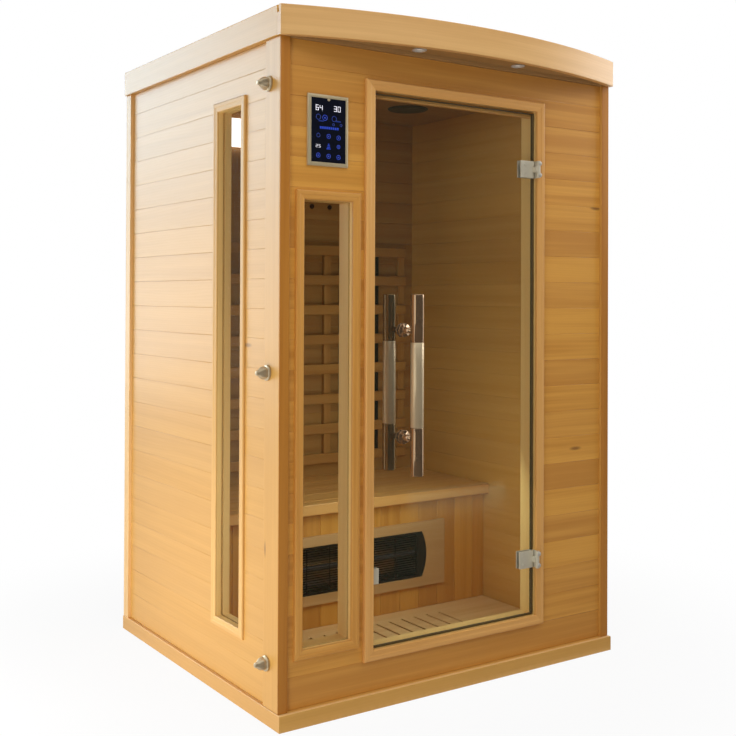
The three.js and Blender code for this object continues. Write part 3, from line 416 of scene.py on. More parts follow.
# lighter copy of the trim wood for the side window's trim: painted light
paintedLightSashWood = woodFinish("hemlock_sash_painted_light", {
    "pale": (0.80, 0.48, 0.155), "ripe": (0.68, 0.36, 0.095), "line": (0.46, 0.21, 0.045),
    "worn": (0.85, 0.6, 0.28), "rough": 0.52})
doorWood = woodFinish("hemlock_door_trim", {
    "pale": (0.82, 0.43, 0.122), "ripe": (0.66, 0.295, 0.062), "line": (0.42, 0.16, 0.026),
    "worn": (0.86, 0.56, 0.23), "rough": 0.36})
woodY = woodFinish("hemlock_along_y", hemlock, 1)
tintGlass = glassFinish("bronze_glass", (0.055, 0.07, 0.05), 0.115)
windowGlass = glassFinish("window_bronze_glass", (0.03, 0.038, 0.02), 0.10)
sideGlass = glassFinish("side_bronze_glass", (0.085, 0.105, 0.09), 0.07, 0.15)
satinSteel = metalFinish("satin_steel", (0.74, 0.68, 0.53), 0.4, metallic=0.35)
# darker brown copy of the polished steel for the inner handle's ends: painted reflection of the room inside
innerReflectionSteel = metalFinish("inner_handle_steel_painted_reflection", (0.36, 0.25, 0.13), 0.2, brushed=0.3, metallic=0.8)
# satin steel for the handle grips; its warm beige tint is a painted reflection of the wood
warmGripSteel = metalFinish("grip_steel_painted_reflection", (0.78, 0.63, 0.40), 0.32, metallic=0.6)
ringSteel = metalFinish("downlight_steel", (0.66, 0.62, 0.55), 0.4, metallic=0.4)
# polished steel for the handle ends, standoffs and hinge pins; its warm brown tint is a painted reflection of
# the wood around it
warmReflectionSteel = metalFinish("polished_steel_painted_reflection", (0.52, 0.36, 0.22), 0.13, brushed=0.3, metallic=0.84)
bronzeMetal = metalFinish("bronze_knob_metal", (0.56, 0.46, 0.30), 0.28, 0, metallic=0.55)
bezelPaint = plainFinish("champagne_bezel", (0.62, 0.51, 0.31), 0.34, metallic=0.35)
screenGlass = plainFinish("touch_screen", (0.006, 0.008, 0.016), 0.12, 60.0, 0.00002)
heaterBlack = plainFinish("heater_black", (0.012, 0.010, 0.009), 0.42)
panelBlack = plainFinish("heater_panel_black", (0.020, 0.014, 0.010), 0.6)
speakerGrey = plainFinish("speaker_grey", (0.075, 0.070, 0.058), 0.5)
catchGrey = plainFinish("catch_grey", (0.10, 0.09, 0.08), 0.45)
pegBrown = plainFinish("peg_dark_brown", (0.045, 0.014, 0.008), 0.5)
# dark brown for the strips round the door glass: painted shade of the gaps
gapShadeBrown = plainFinish("door_gap_painted_shade", (0.10, 0.068, 0.024), 0.5)
rubberBlack = plainFinish("grommet_rubber", (0.016, 0.016, 0.016), 0.7)
boxGrey = plainFinish("power_box_grey", (0.55, 0.55, 0.53), 0.45)
tubeClay = plainFinish("heater_tube", (0.12, 0.10, 0.09), 0.6)
reflectorMetal = metalFinish("reflector_metal", (0.50, 0.48, 0.45), 0.3, 0)
lampOpal = glowFinish("lamp_opal", (0.95, 0.93, 0.88), 1.9)
lensGlow = glowFinish("downlight_lens", (0.92, 0.88, 0.80), 0.22)
digitWhite = glowFinish("readout_white", (0.9, 0.88, 0.95), 0.75)
iconBlue = glowFinish("icon_blue", (0.02, 0.05, 0.40), 0.45)
iconDim = glowFinish("icon_dim_blue", (0.012, 0.03, 0.18), 0.4)
print("finishes made:", len(bpy.data.materials))

# camera
camera = {"place": (-2.0100, -2.9536, 1.1342), "yaw": -34.117, "pitch": 0.478, "roll": 0.236,
          "lens": 53.115, "lift": -0.10856}


def makeCamera(spec):
    # turned by yaw about the upright, then tilted by pitch, then leant by roll
    yaw, pitch, roll = np.radians([spec["yaw"], spec["pitch"], spec["roll"]])
    ahead, side = np.array([-np.sin(yaw), np.cos(yaw), 0]), np.array([np.cos(yaw), np.sin(yaw), 0])
    up = np.array([0, 0, 1.0])
    ahead, up = np.cos(pitch) * ahead + np.sin(pitch) * up, np.cos(pitch) * up - np.sin(pitch) * ahead
    side, up = np.cos(roll) * side + np.sin(roll) * up, np.cos(roll) * up - np.sin(roll) * side
    data = bpy.data.cameras.new("camera")
    data.lens, data.sensor_width, data.shift_y, data.clip_end = spec["lens"], 36, spec["lift"], 60
    eye = bpy.data.objects.new("camera", data)
    turn = Matrix((side, up, -ahead)).transposed().to_4x4()
    eye.matrix_world = Matrix.Translation(spec["place"]) @ turn
    bpy.context.scene.collection.objects.link(eye)
    bpy.context.scene.camera = eye


makeCamera(camera)

# cabin sizes read from the frame
leftLo, leftHi = box("left_wall_boards")
rightLo, rightHi = box("right_wall_boards")
stileLo = box("left_wall_stile")[0]
panelLo, panelHi = box("front_left_panel")
farHi = box("front_right_panel")[1]
rearLo, rearHi = box("rear_wall")
plinthLo, plinthHi = box("plinth_frame")
doorLo, doorHi = box("door_frame")
glassLo, glassHi = box("door_glass")
innerRear = leftHi[1] + 0.3 * mm
wallLow, wallHigh = leftLo[2], leftHi[2]
trimSeat = panelLo[1] - 0.3 * mm  # back of the trims on the front wall
boards = {"first": 86 * mm, "pitch": 81 * mm, "least": 20 * mm, "gap": 0.05 * mm, "jut": 0.25 * mm,
          "end": 0.4 * mm}
lines = np.arange(plinthHi[2] + boards["first"], wallHigh - boards["least"], boards["pitch"])
rows = np.r_[wallLow, lines, wallHigh]


sharp = 0.00001  # radius of a corner that is to stay sharp


def boardPanel(stock, along, span, depth, holes=(), edge=1.2 * mm):
    # one stick per board, cut where a hole (span, height) passes; only real joints get a softened edge
    across = 1 - along
    for low, high in zip(rows[:-1], rows[1:]):
        tone = dice.random()
        cuts = sorted({low, high, *(z for h in holes for z in h[1] if low < z < high)})
        jut = dice.uniform(-1, 1) * boards["jut"]
        for z0, z1 in zip(cuts[:-1], cuts[1:]):
            blocked = sorted(h[0] for h in holes if h[1][0] < (z0 + z1) / 2 < h[1][1])
            starts = [span[0], *(b[1] for b in blocked)]
            ends = [*(b[0] for b in blocked), span[1]]
            for a0, a1 in zip(starts, ends):
                lo, hi = np.zeros(3), np.zeros(3)
                lo[along], hi[along], lo[2], hi[2] = a0, a1, z0 + boards["gap"] / 2, z1 - boards["gap"] / 2
                lo[across], hi[across] = min(depth) + jut, max(depth) + jut
                lower, upper = (edge if z0 == low else sharp), (edge if z1 == high else sharp)
                corners = (lower, upper, upper, lower) if along == 1 else (lower, lower, upper, upper)
                timber(stock, lo, hi, along, boards["end"], tone, corners)


def opening(node, along, lap):
    # a framed piece's outer size less a margin on every side, as (span, height)
    lo, hi = box(node)
    return (lo[along] + lap, hi[along] - lap), (lo[2] + lap, hi[2] - lap)


# side walls
sidePanel = {"edge": 0.7 * mm, "lap": 17 * mm, "facing": 2.6 * mm, "facingStep": 0.4 * mm,
             "postBack": 1.6 * mm}


def sideWalls():
    # boards along y, an upright front post and its facing, whose darker wood is painted shade on the post's
    # front
    hole = opening("left_window_frame", 1, sidePanel["lap"])
    facing, step = sidePanel["facing"], sidePanel["facingStep"]
    for side, lo, hi, holes in (("left", leftLo, leftHi, [hole]), ("right", rightLo, rightHi, [])):
        stock = newStock()
        boardPanel(stock, 1, (lo[1], hi[1]), (lo[0], hi[0]), holes, sidePanel["edge"])
        makePiece(stock, side + "_boards", sideWood, replaced=[side + "_wall_boards"])
        lo, hi = box(side + "_wall_stile")
        stock = newStock()
        timber(stock, lo + (0, sidePanel["postBack"], 0), hi, 2, 2.2 * mm, 0.35)
        makePiece(stock, side + "_post", sideWood, replaced=[side + "_wall_stile"])
        # thin facing on the post's front in the darker wood, painted shade
        stock = newStock()
        timber(stock, lo + (step, 0, 0), (hi[0] - step, lo[1] + facing, hi[2]), 2, 0.8 * mm, 0.3)
        makePiece(stock, side + "_post_facing", shadedFacingWood)


rearPanel = {"strip": 13 * mm, "joint": 0.2 * mm, "skinGap": 0.3 * mm, "cleat": 38 * mm}


def rearWall():
    # outer boards and inner lining along x, the seat's cleat, and an upright strip at each end; the lining's
    # darker wood is painted shade and the strips' pale wood is painted light
    strip, gap = rearPanel["strip"], rearPanel["skinGap"]
    span = rearLo[0] + strip + rearPanel["joint"], rearHi[0] - strip - rearPanel["joint"]
    middle = (innerRear + rearHi[1]) / 2
    stock = newStock()
    boardPanel(stock, 0, span, (middle + gap, rearHi[1]))
    makePiece(stock, "rear_boards", wallWood, replaced=["rear_wall"])
    stock = newStock()
    boardPanel(stock, 0, span, (innerRear, middle - gap))
    under = box("bench_seat")[0][2]
    timber(stock, (leftHi[0] + 0.5 * mm, rearLo[1], under - rearPanel["cleat"]),
           (rightLo[0] - 0.5 * mm, innerRear + 1 * mm, under - 0.3 * mm), 0)
    # the lining takes the darker wood, painted shade behind the backrest
    makePiece(stock, "rear_lining", shadedRearWood)
    for side, x in (("left", rearLo[0]), ("right", rearHi[0] - strip)):
        stock = newStock()
        timber(stock, (x, innerRear, rearLo[2]), (x + strip, rearHi[1], rearHi[2]), 2, 0.8 * mm, 0.5)
        # the end strip takes the pale wood, painted light on the shaded step
        makePiece(stock, side + "_rear_edge", paintedLightWood)


# front wall
frontPanel = {
    "edge": 1 * mm,
    "laps": {"door_frame": 15.7 * mm, "front_window_frame": 15.7 * mm, "control_housing": 9 * mm}}


def frontWall():
    # boards along x with holes for the door, the window and the control panel
    holes = [opening(node, 0, lap) for node, lap in frontPanel["laps"].items()]
    stock = newStock()
    boardPanel(stock, 0, (panelLo[0], farHi[0]), (panelLo[1], panelHi[1]), holes, frontPanel["edge"])
    makePiece(stock, "front_boards", wallWood,
              replaced=["front_left_panel", "front_right_panel", "front_header", "front_sill"])


# window and door frames
windows = {
    # the side window's trim takes the lighter wood, painted light
    "left": {"trim": 26 * mm, "way": (0, 1), "seat": leftLo[0] - 0.3 * mm, "wood": paintedLightSashWood,
             "glass": sideGlass},
    "front": {"trim": 25 * mm, "way": (1, 0), "seat": trimSeat, "wood": trimWood, "glass": windowGlass},
}
lining = {"thick": 9 * mm, "groove": 5 * mm, "play": 0.4 * mm, "bed": 0.05 * mm}


def windowFrame(name, spec):
    # stepped trim on the wall's face, then the lining behind it with a groove for the pane, both mitred
    depthAxis, alongAxis = spec["way"]
    node, pane = name + "_window_frame", name + "_window_glass"
    lo, hi = box(node)
    paneLo, paneHi = box(pane)
    face, back, seat, trim = lo[depthAxis], hi[depthAxis], spec["seat"], spec["trim"]
    corners = [(0, face + 3 * mm), (4 * mm, face + 1.6 * mm), (trim * 0.5, face + 1.2 * mm),
               (trim * 0.58, face), (trim - 2.5 * mm, face), (trim, face + 2.5 * mm), (trim, seat), (0, seat)]
    radii = np.array([1.2, 0.8, 1.0, 0.8, 1.2, 1.0, 0.2, 0.2]) * mm
    thick, groove, bed = lining["thick"], lining["groove"], seat + lining["bed"]
    slot0, slot1 = paneLo[depthAxis] - lining["play"], paneHi[depthAxis] + lining["play"]
    innerCorners = [(0, bed), (thick, bed), (thick, back), (0, back),
                    (0, slot1), (groove, slot1), (groove, slot0), (0, slot0)]
    innerRadii = np.array([0.2, 0.2, 0.3, 1.5, 0.6, 0.2, 0.2, 0.6]) * mm

    def put(a, b, depth):
        out = np.zeros((len(a), 3))
        out[:, alongAxis], out[:, 2], out[:, depthAxis] = a, b, depth
        return out
    hole = opening(node, alongAxis, trim)
    stock = newStock()
    moulding(stock, put, *hole, *softened(corners, radii))
    makePiece(stock, name + "_window_moulding", spec["wood"], replaced=[node])
    stock = newStock()
    moulding(stock, put, *hole, *softened(innerCorners, innerRadii))
    # the lining takes the very pale wood, painted light on the reveal
    makePiece(stock, name + "_window_lining", paintedLightLiningWood)
    dress(pane, spec["glass"])


doorTrim = {"trim": 30 * mm, "jamb": 14 * mm, "stop": 13 * mm, "headStop": 16 * mm, "stopDepth": 20 * mm,
            "clear": 2 * mm, "magnetGap": 4 * mm}


def doorFrame():
    # stepped trim and plain jamb, both mitred, with stops at the free edge and the head
    face, back, trim, jamb, seat = doorLo[1], doorHi[1], doorTrim["trim"], doorTrim["jamb"], trimSeat
    corners = [(0, face + 2.6 * mm), (5 * mm, face + 1.4 * mm), (trim * 0.48, face + 1.1 * mm),
               (trim * 0.55, face), (trim - 3 * mm, face), (trim, face + 3 * mm), (trim, seat), (0, seat)]
    radii = np.array([1.2, 0.8, 1.0, 0.8, 1.4, 1.2, 0.2, 0.2]) * mm
    bed = seat + lining["bed"]
    innerCorners = [(0, bed), (jamb, bed), (jamb, back), (0, back)]
    put = lambda a, b, depth: np.stack([a, depth, b], 1)
    (left, right), (low, high) = inner = opening("door_frame", 0, trim)
    stock = newStock()
    moulding(stock, put, *inner, *softened(corners, radii))
    magnetLo, magnetHi = box("magnet_catch")
    near = glassHi[1] + doorTrim["clear"]
    far, edge, gap = near + doorTrim["stopDepth"], left + doorTrim["stop"], doorTrim["magnetGap"]
    timber(stock, (left, near, low), (edge, far, magnetLo[2] - gap), 2)
    timber(stock, (left, near, magnetHi[2] + gap), (edge, far, high), 2)
    timber(stock, (edge, near, high - doorTrim["headStop"]), (right, far, high), 0)
    makePiece(stock, "door_moulding", doorWood, replaced=["door_frame"])
    stock = newStock()
    moulding(stock, put, *inner, *softened(innerCorners, np.array([0.2, 0.2, 0.3, 1.5]) * mm))
    # the door lining takes the very pale wood, painted light on the reveal
    makePiece(stock, "door_lining", paintedLightLiningWood)
    dress("magnet_catch", catchGrey, 1 * mm)


# plinth and floor
plinth = {"rail": 35 * mm, "bearer": 26.8 * mm, "gap": 0.2 * mm, "ledge": 10 * mm, "lip": 0.4 * mm}


def base():
    # mitred rails, fillers and bearers inside them, and a pale strip along the front ledge, a painted
    # highlight
    lo, hi = plinthLo, plinthHi
    rail, gap = plinth["rail"], plinth["gap"]
    put = lambda a, b, depth: np.stack([a, b, depth], 1)
    outline = softened([(0, 0.0), (0, hi[2]), (-rail, hi[2]), (-rail, 0.0)], np.array([0.8, 2.5, 1, 1]) * mm)
    stock = newStock()
    moulding(stock, put, (lo[0], hi[0]), (lo[1], hi[1]), *outline)
    floorLo, floorHi = box("floor_boards")
    inLo, inHi = lo + rail + gap, hi - rail - gap
    timber(stock, (inLo[0], inLo[1], 0), (inHi[0], floorLo[1] - gap, hi[2]), 0)
    timber(stock, (inLo[0], floorHi[1] + gap, 0), (inHi[0], inHi[1], hi[2]), 0)
    for a, b in ((inLo[0], inLo[0] + plinth["bearer"]), (inHi[0] - plinth["bearer"], inHi[0])):
        timber(stock, (a, floorLo[1], 0), (b, floorHi[1], floorLo[2] - gap), 1)
    makePiece(stock, "plinth_rails", sideWood, replaced=["plinth_frame"])
    stock = newStock()
    timber(stock, (lo[0] + 1 * mm, lo[1] + 0.6 * mm, hi[2] - 1 * mm),
           (hi[0] - 1 * mm, lo[1] + plinth["ledge"], hi[2] + plinth["lip"]), 0, 0.5 * mm, 0.5)
    # the ledge strip takes the pale wood, a painted highlight
    makePiece(stock, "plinth_ledge", paintedLightWood)
    dress("floor_boards", floorWood, 0.8 * mm)
    dress("floor_heater", panelBlack, 1 * mm)


# roof cap
roof = {"thick": 18 * mm, "lip": 10 * mm, "overhang": 12 * mm, "clear": 0.3 * mm, "tuck": 0.7 * mm,
        "steps": 65}


def roofCap():
    # bowed front fascia, straight fascias with the same section, and the dressed panels
    frontLo, frontHi = box("roof_fascia_front")
    low, high = frontLo[2], frontHi[2]
    half, thick, lip, steps = frontHi[0], roof["thick"], roof["lip"], roof["steps"]
    cornerY = stileLo[1] - roof["overhang"]
    rise = cornerY - frontLo[1]
    radius = (half ** 2 + rise ** 2) / (2 * rise)
    centreY = frontLo[1] + radius
    rebate = box("roof_top_panel")[0][2] - roof["clear"]
    section, smooth = softened([(0, low), (thick, low), (thick, rebate), (lip, rebate), (lip, high),
                                (0, high)],
                               np.array([1.8, 1.5, 0.3, 0.3, 1.2, 2.2]) * mm, 3)
    # bow: the section point (inset, z) lies on the circle of radius R - inset, at equal steps of x
    x = np.linspace(-half, half, steps)[:, None]
    r = radius - section[None, :, 0]
    grid = steps, len(section)
    bow = np.stack([np.broadcast_to(x, grid), centreY - np.sqrt(r ** 2 - x ** 2),
                    np.broadcast_to(section[None, :, 1], grid)], 2)
    stock = newStock()
    carry(stock, bow, 0.55, smooth)
    # the bowed fascia takes the paler wood, partly painted sheen
    makePiece(stock, "bowed_fascia", capSheenWood, replaced=["roof_fascia_front"])
    for side, way in (("left", -1), ("right", 1)):
        lo, hi = box("roof_fascia_" + side)
        outer = lo[0] if way < 0 else hi[0]
        reach = centreY - np.sqrt((radius - thick) ** 2 - (half - section[:, 0]) ** 2) + roof["tuck"]
        ends = np.zeros((2, len(section), 3))
        ends[:, :, 0], ends[:, :, 2] = outer - way * section[:, 0], section[:, 1]
        ends[0, :, 1], ends[1, :, 1] = reach, hi[1]
        stock = newStock()
        carry(stock, ends, 0.7, smooth, shift=3.0 + way)
        makePiece(stock, side + "_fascia", sideWood, replaced=["roof_fascia_" + side])
    lo, hi = box("roof_fascia_rear")
    ends = np.zeros((2, len(section), 3))
    ends[:, :, 1], ends[:, :, 2] = hi[1] - section[:, 0], section[:, 1]
    ends[0, :, 0], ends[1, :, 0] = lo[0], hi[0]
    stock = newStock()
    carry(stock, ends, 0.4, smooth, shift=9.0)
    makePiece(stock, "rear_fascia", capSheenWood, replaced=["roof_fascia_rear"])
    # the ceiling panel takes the darker wood, painted shade under the roof
    dress("ceiling_panel", shadedCeilingWood)
    dress("roof_top_panel", woodY)
    dress("cable_grommet", rubberBlack, 0.6 * mm)
    dress("power_supply_box", boxGrey, 2 * mm)


def ceilingFittings():
    # turned downlight rings with a lens in each, and the turned speaker grille
    for side in ("left", "right"):
        lo, hi = box(side + "_downlight")
        centre = np.r_[(lo[:2] + hi[:2]) / 2, lo[2] + 3 * mm]
        outer = (hi[0] - lo[0]) / 2
        inner = outer - 6 * mm
        ring = [(inner, 12 * mm), (inner, -0.4 * mm), (inner + 1 * mm, -1.6 * mm),
                (outer - 3 * mm, -2.9 * mm), (outer - 1 * mm, -2.4 * mm), (outer, -1 * mm), (outer, 0),
                (inner + 2 * mm, 0), (inner + 2 * mm, 12 * mm), (inner, 12 * mm)]
        lens = [(0, 1.2 * mm), (inner * 0.6, 1.6 * mm), (inner - 0.3 * mm, 3.2 * mm),
                (inner - 0.3 * mm, 6 * mm), (0, 6 * mm)]
        stock = newStock()
        turned(stock, ring, centre, 2)
        makePiece(stock, side + "_downlight_ring", ringSteel,
                  replaced=[side + "_downlight"], merge=True)
        stock = newStock()
        turned(stock, lens, centre, 2)
        makePiece(stock, side + "_downlight_lens", lensGlow, merge=True)
    lo, hi = box("ceiling_speaker")
    centre = np.r_[(lo[:2] + hi[:2]) / 2, box("roof_fascia_front")[0][2] - 0.3 * mm]
    r = (hi[0] - lo[0]) / 2
    grille = [(0, -3 * mm), (r * 0.4, -4 * mm), (r * 0.8, -5.4 * mm), (r * 0.84, -7 * mm),
              (r * 0.92, -6.4 * mm), (r, -3 * mm), (r, 0), (r * 0.83, 0), (r * 0.83, 30 * mm), (0, 30 * mm)]
    stock = newStock()
    turned(stock, grille, centre, 2, 64)
    makePiece(stock, "ceiling_speaker_grille", speakerGrey, replaced=["ceiling_speaker"],
              merge=True)


# door hardware
levels = ("lower", "upper")
gapStrip = {"side": 7.5 * mm, "head": 4 * mm, "foot": 5 * mm, "gap": 0.1 * mm, "round": 1.2 * mm}


def doorLeaf():
    # dressed glass and hinges, with dark strips along three edges of the glass that stop at the hinge clamps;
    # the strips are painted shade of the gaps round the glass
    dress("door_glass", tintGlass)
    for level in levels:
        dress(level + "_hinge_leaf", satinSteel, 0.7 * mm)
        dress(level + "_hinge_clamp", satinSteel, 0.7 * mm)
        dress(level + "_hinge_pin", warmReflectionSteel)
    dress("door_catch_plate", satinSteel, 0.5 * mm)
    stock = newStock()
    gap, near, far = gapStrip["gap"], glassHi[0] + gapStrip["gap"], glassHi[0] + gapStrip["side"]
    clamps = sorted(tuple(c[2] for c in box(level + "_hinge_clamp")) for level in levels)
    marks = [glassLo[2], *(z + d for pair in clamps for z, d in zip(pair, (-1 * mm, 1 * mm))), glassHi[2]]
    for low, high in zip(marks[::2], marks[1::2]):
        timber(stock, (near, glassLo[1], low), (far, glassHi[1], high), 2, gapStrip["round"])
    for low, high in ((glassHi[2] + gap, glassHi[2] + gapStrip["head"]),
                      (glassLo[2] - gapStrip["foot"], glassLo[2] - gap)):
        timber(stock, (glassLo[0], glassLo[1], low), (far, glassHi[1], high), 0, gapStrip["round"])
    makePiece(stock, "door_gap_shade_strips", gapShadeBrown, "door")


# radius and height in millimetres
screw = np.array([(0, 0.9), (1.2, 0.9), (1.3, 1.5), (2.2, 1.5), (3.4, 0.8), (3.8, 0), (0, 0)])
boss = np.array([(0, 2.2), (3.2, 2.0), (5.6, 1.2), (6.6, 0), (6.6, -3), (0, -3)])
hinge = {"leafScrews": ((22, -15), (22, 15), (30, 0)), "bosses": (-17.6, 17.6), "clampScrews": (-14, 14),
         "clampInset": 15 * mm, "clampFace": 5.3 * mm, "leafFace": 3 * mm, "bossFace": 3.7 * mm,
         "bossOut": 0.1 * mm}


def hingeScrews():
    # turned screw heads and bosses on the leaves, and screw heads on both faces of the clamps
    for level in levels:
        lo, hi = box(level + "_hinge_leaf")
        middle = (lo[2] + hi[2]) / 2
        stock = newStock()
        for dy, dz in hinge["leafScrews"]:
            at = hi[0] - hinge["leafFace"], lo[1] + dy * mm, middle + dz * mm
            turned(stock, screw * (mm, -mm), at, 0, 20)
        for dz in hinge["bosses"]:
            at = hi[0] - hinge["bossFace"], lo[1] - hinge["bossOut"], middle + dz * mm
            turned(stock, boss * (mm, -mm), at, 1, 28)
        makePiece(stock, level + "_leaf_screws", ringSteel, merge=True)
        x = box(level + "_hinge_clamp")[0][0] + hinge["clampInset"]
        stock = newStock()
        for dz in hinge["clampScrews"]:
            for way, y in ((-1, glassLo[1] - hinge["clampFace"]), (1, glassHi[1] + hinge["clampFace"])):
                turned(stock, screw * (mm, way * mm), (x, y, middle + dz * mm), 1, 20)
        makePiece(stock, level + "_clamp_screws", satinSteel, "door", merge=True)


def mirrored(profile):
    # same profile upside down, its points in the opposite order
    return [(a, -b) for a, b in profile[::-1]]


handle = {"grip": 237 * mm, "post": 8.5 * mm, "count": 56}


def handles():
    # bars turned about the upright, each in three lengths, and through standoffs turned about y
    grip, post = handle["grip"] / 2, handle["post"]
    # the outer ends take the warm polished steel and the inner ends its darker brown copy, both painted
    # reflection
    for side, ends in (("outer", warmReflectionSteel), ("inner", innerReflectionSteel)):
        lo, hi = box(side + "_handle_bar")
        centre, r, half = (lo + hi) / 2, (hi[0] - lo[0]) / 2, (hi[2] - lo[2]) / 2
        tip = [(0, grip), (r - 1 * mm, grip), (r, grip + 1.2 * mm), (r, half - 2.5 * mm),
               (r - 0.7 * mm, half - 0.8 * mm), (r - 2.4 * mm, half), (r * 0.5, half + 0.2 * mm),
               (0, half + 0.2 * mm)]
        upper = [(r - 0.2 * mm, grip - 0.8 * mm), (r - 1 * mm, grip), (0, grip)]
        for name, profile, finish in (("_grip", mirrored(upper) + upper, warmGripSteel), ("_top", tip, ends),
                                      ("_foot", mirrored(tip), ends)):
            stock = newStock()
            turned(stock, profile, centre, 2, handle["count"])
            piece = makePiece(stock, side + "_handle" + name, finish, "door", merge=True)
            if name == "_grip":
                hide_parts(side + "_handle_bar")
    for level in levels:
        lo, hi = box(level + "_handle_standoff")
        centre, reach, rose = (lo + hi) / 2, (hi[1] - lo[1]) / 2, (hi[0] - lo[0]) / 2
        face = (glassHi[1] - glassLo[1]) / 2 + 0.3 * mm
        side = [(post, face), (rose - 0.6 * mm, face), (rose, face + 0.6 * mm), (rose, face + 3 * mm),
                (rose - 1.2 * mm, face + 4.2 * mm), (post + 1.5 * mm, face + 4.8 * mm), (post, face + 7 * mm),
                (post, reach), (0, reach)]
        stock = newStock()
        turned(stock, mirrored(side) + side, centre, 1)
        makePiece(stock, level + "_standoff", warmReflectionSteel, "door",
                  [level + "_handle_standoff"], merge=True)


# flange, five-lobed cone and a plain tip, then the bolt: radius and height in millimetres, and lobe depth
knob = np.array([
    (0, 36, 0), (3.4, 35.8, 0), (5.2, 35, 0), (6.8, 33, 0), (7.6, 30, 0),
    (8.6, 27.5, 0.02), (9.6, 26.2, 0.05), (11.6, 23.6, 0.10), (13.4, 20.8, 0.13), (15, 17.4, 0.14),
    (16, 14, 0.13), (16.6, 11, 0.11), (16.8, 8.6, 0.08), (16.2, 7.4, 0.03), (17.4, 6.8, 0), (19.6, 6, 0),
    (20.8, 4.6, 0), (21, 3, 0), (21, 1, 0), (20.4, 0.3, 0), (4, 0.3, 0), (4, -50, 0), (0, -50, 0)])


def clampKnobs():
    # knob profile turned about x, standing out from the post's face
    for side, way in (("left", -1), ("right", 1)):
        for level in ("lower", "middle", "upper"):
            node = f"{side}_{level}_clamp_knob"
            lo, hi = box(node)
            at = -way * stileLo[0], (lo[1] + hi[1]) / 2, (lo[2] + hi[2]) / 2
            stock = newStock()
            turned(stock, knob[:, :2] * (mm, way * mm), at, 0, 60, wave=knob[:, 2])
            makePiece(stock, f"{side}_{level}_turned_knob", bronzeMetal, f"{side}_{level}_knob",
                      [node], merge=True)


# control panel
markDepth = 0.4 * mm
segments = {"0": "abcdef", "2": "abged", "3": "abgcd", "4": "fgbc", "5": "afgcd", "6": "afgedc"}


def bar(stock, x, z, wide, tall, y, axis=0):
    # flat lit bar from its lower left corner
    timber(stock, (x, y, z), (x + wide, y + markDepth, z + tall), axis, 0.1 * mm)


def digit(stock, figure, x, z, wide, tall, y):
    # seven-bar figure: bars a, d and g lie, the others stand
    t, half = tall * 0.12, tall / 2
    inset = 0.12 * t
    bars = {"a": (0, tall, wide, t), "d": (0, 0, wide, t), "g": (0, half, wide, t), "f": (0, half, t, half),
            "b": (wide - t, half, t, half), "e": (0, 0, t, half), "c": (wide - t, 0, t, half)}
    for key in segments[figure]:
        bx, bz, bw, bh = bars[key]
        lying = key in "adg"
        bz = bz - t / 2 if lying else bz
        bar(stock, x + bx + inset, z + bz + inset, bw - 2 * inset, bh - 2 * inset, y, 0 if lying else 2)


def ringIcon(stock, x, z, r, y, thick):
    # flat ring turned about y
    hole = r - thick
    turned(stock, [(hole, 0), (r, 0), (r, markDepth), (hole, markDepth), (hole, 0)], (x, y, z), 1, 28)


# places are shares of the screen's width and height from its upper left, sizes are in millimetres
screen = {"readouts": (("64", 0.125, 0.195, 9.2, 13.5), ("30", 0.65, 0.19, 9.2, 13.5),
                       ("25", 0.13, 0.77, 6, 7)),
          "icons": ((0.5, 0.59, 6.5), (0.79, 0.60, 6.5), (0.2, 0.895, 6.5), (0.5, 0.90, 6.5),
                    (0.79, 0.905, 6.5), (0.39, 0.305, 8), (0.79, 0.74, 5.5)),
          "dimIcons": ((0.2, 0.30, 8), (0.66, 0.31, 8), (0.64, 0.40, 4), (0.86, 0.40, 4), (0.2, 0.585, 6)),
          "dimBars": ((0.78, 0.345), (0.28, 0.36)), "cone": (13, 10, 7, 4), "coneAt": (0.5, 0.745),
          "dashes": 9, "dashAt": (0.245, 0.48), "dashPitch": 0.062, "dash": (5.2, 6.5)}
bezel = {"rest": 2.3 * mm, "under": 8 * mm, "block": 2 * mm, "eyeDrop": 3.4 * mm, "marks": 0.35 * mm,
         "eye": ((0, -0.6), (3.4, -0.4), (4.2, 0.4), (4.2, 2), (0, 2)), "glassInset": (0.3, 0.6, 0.3)}


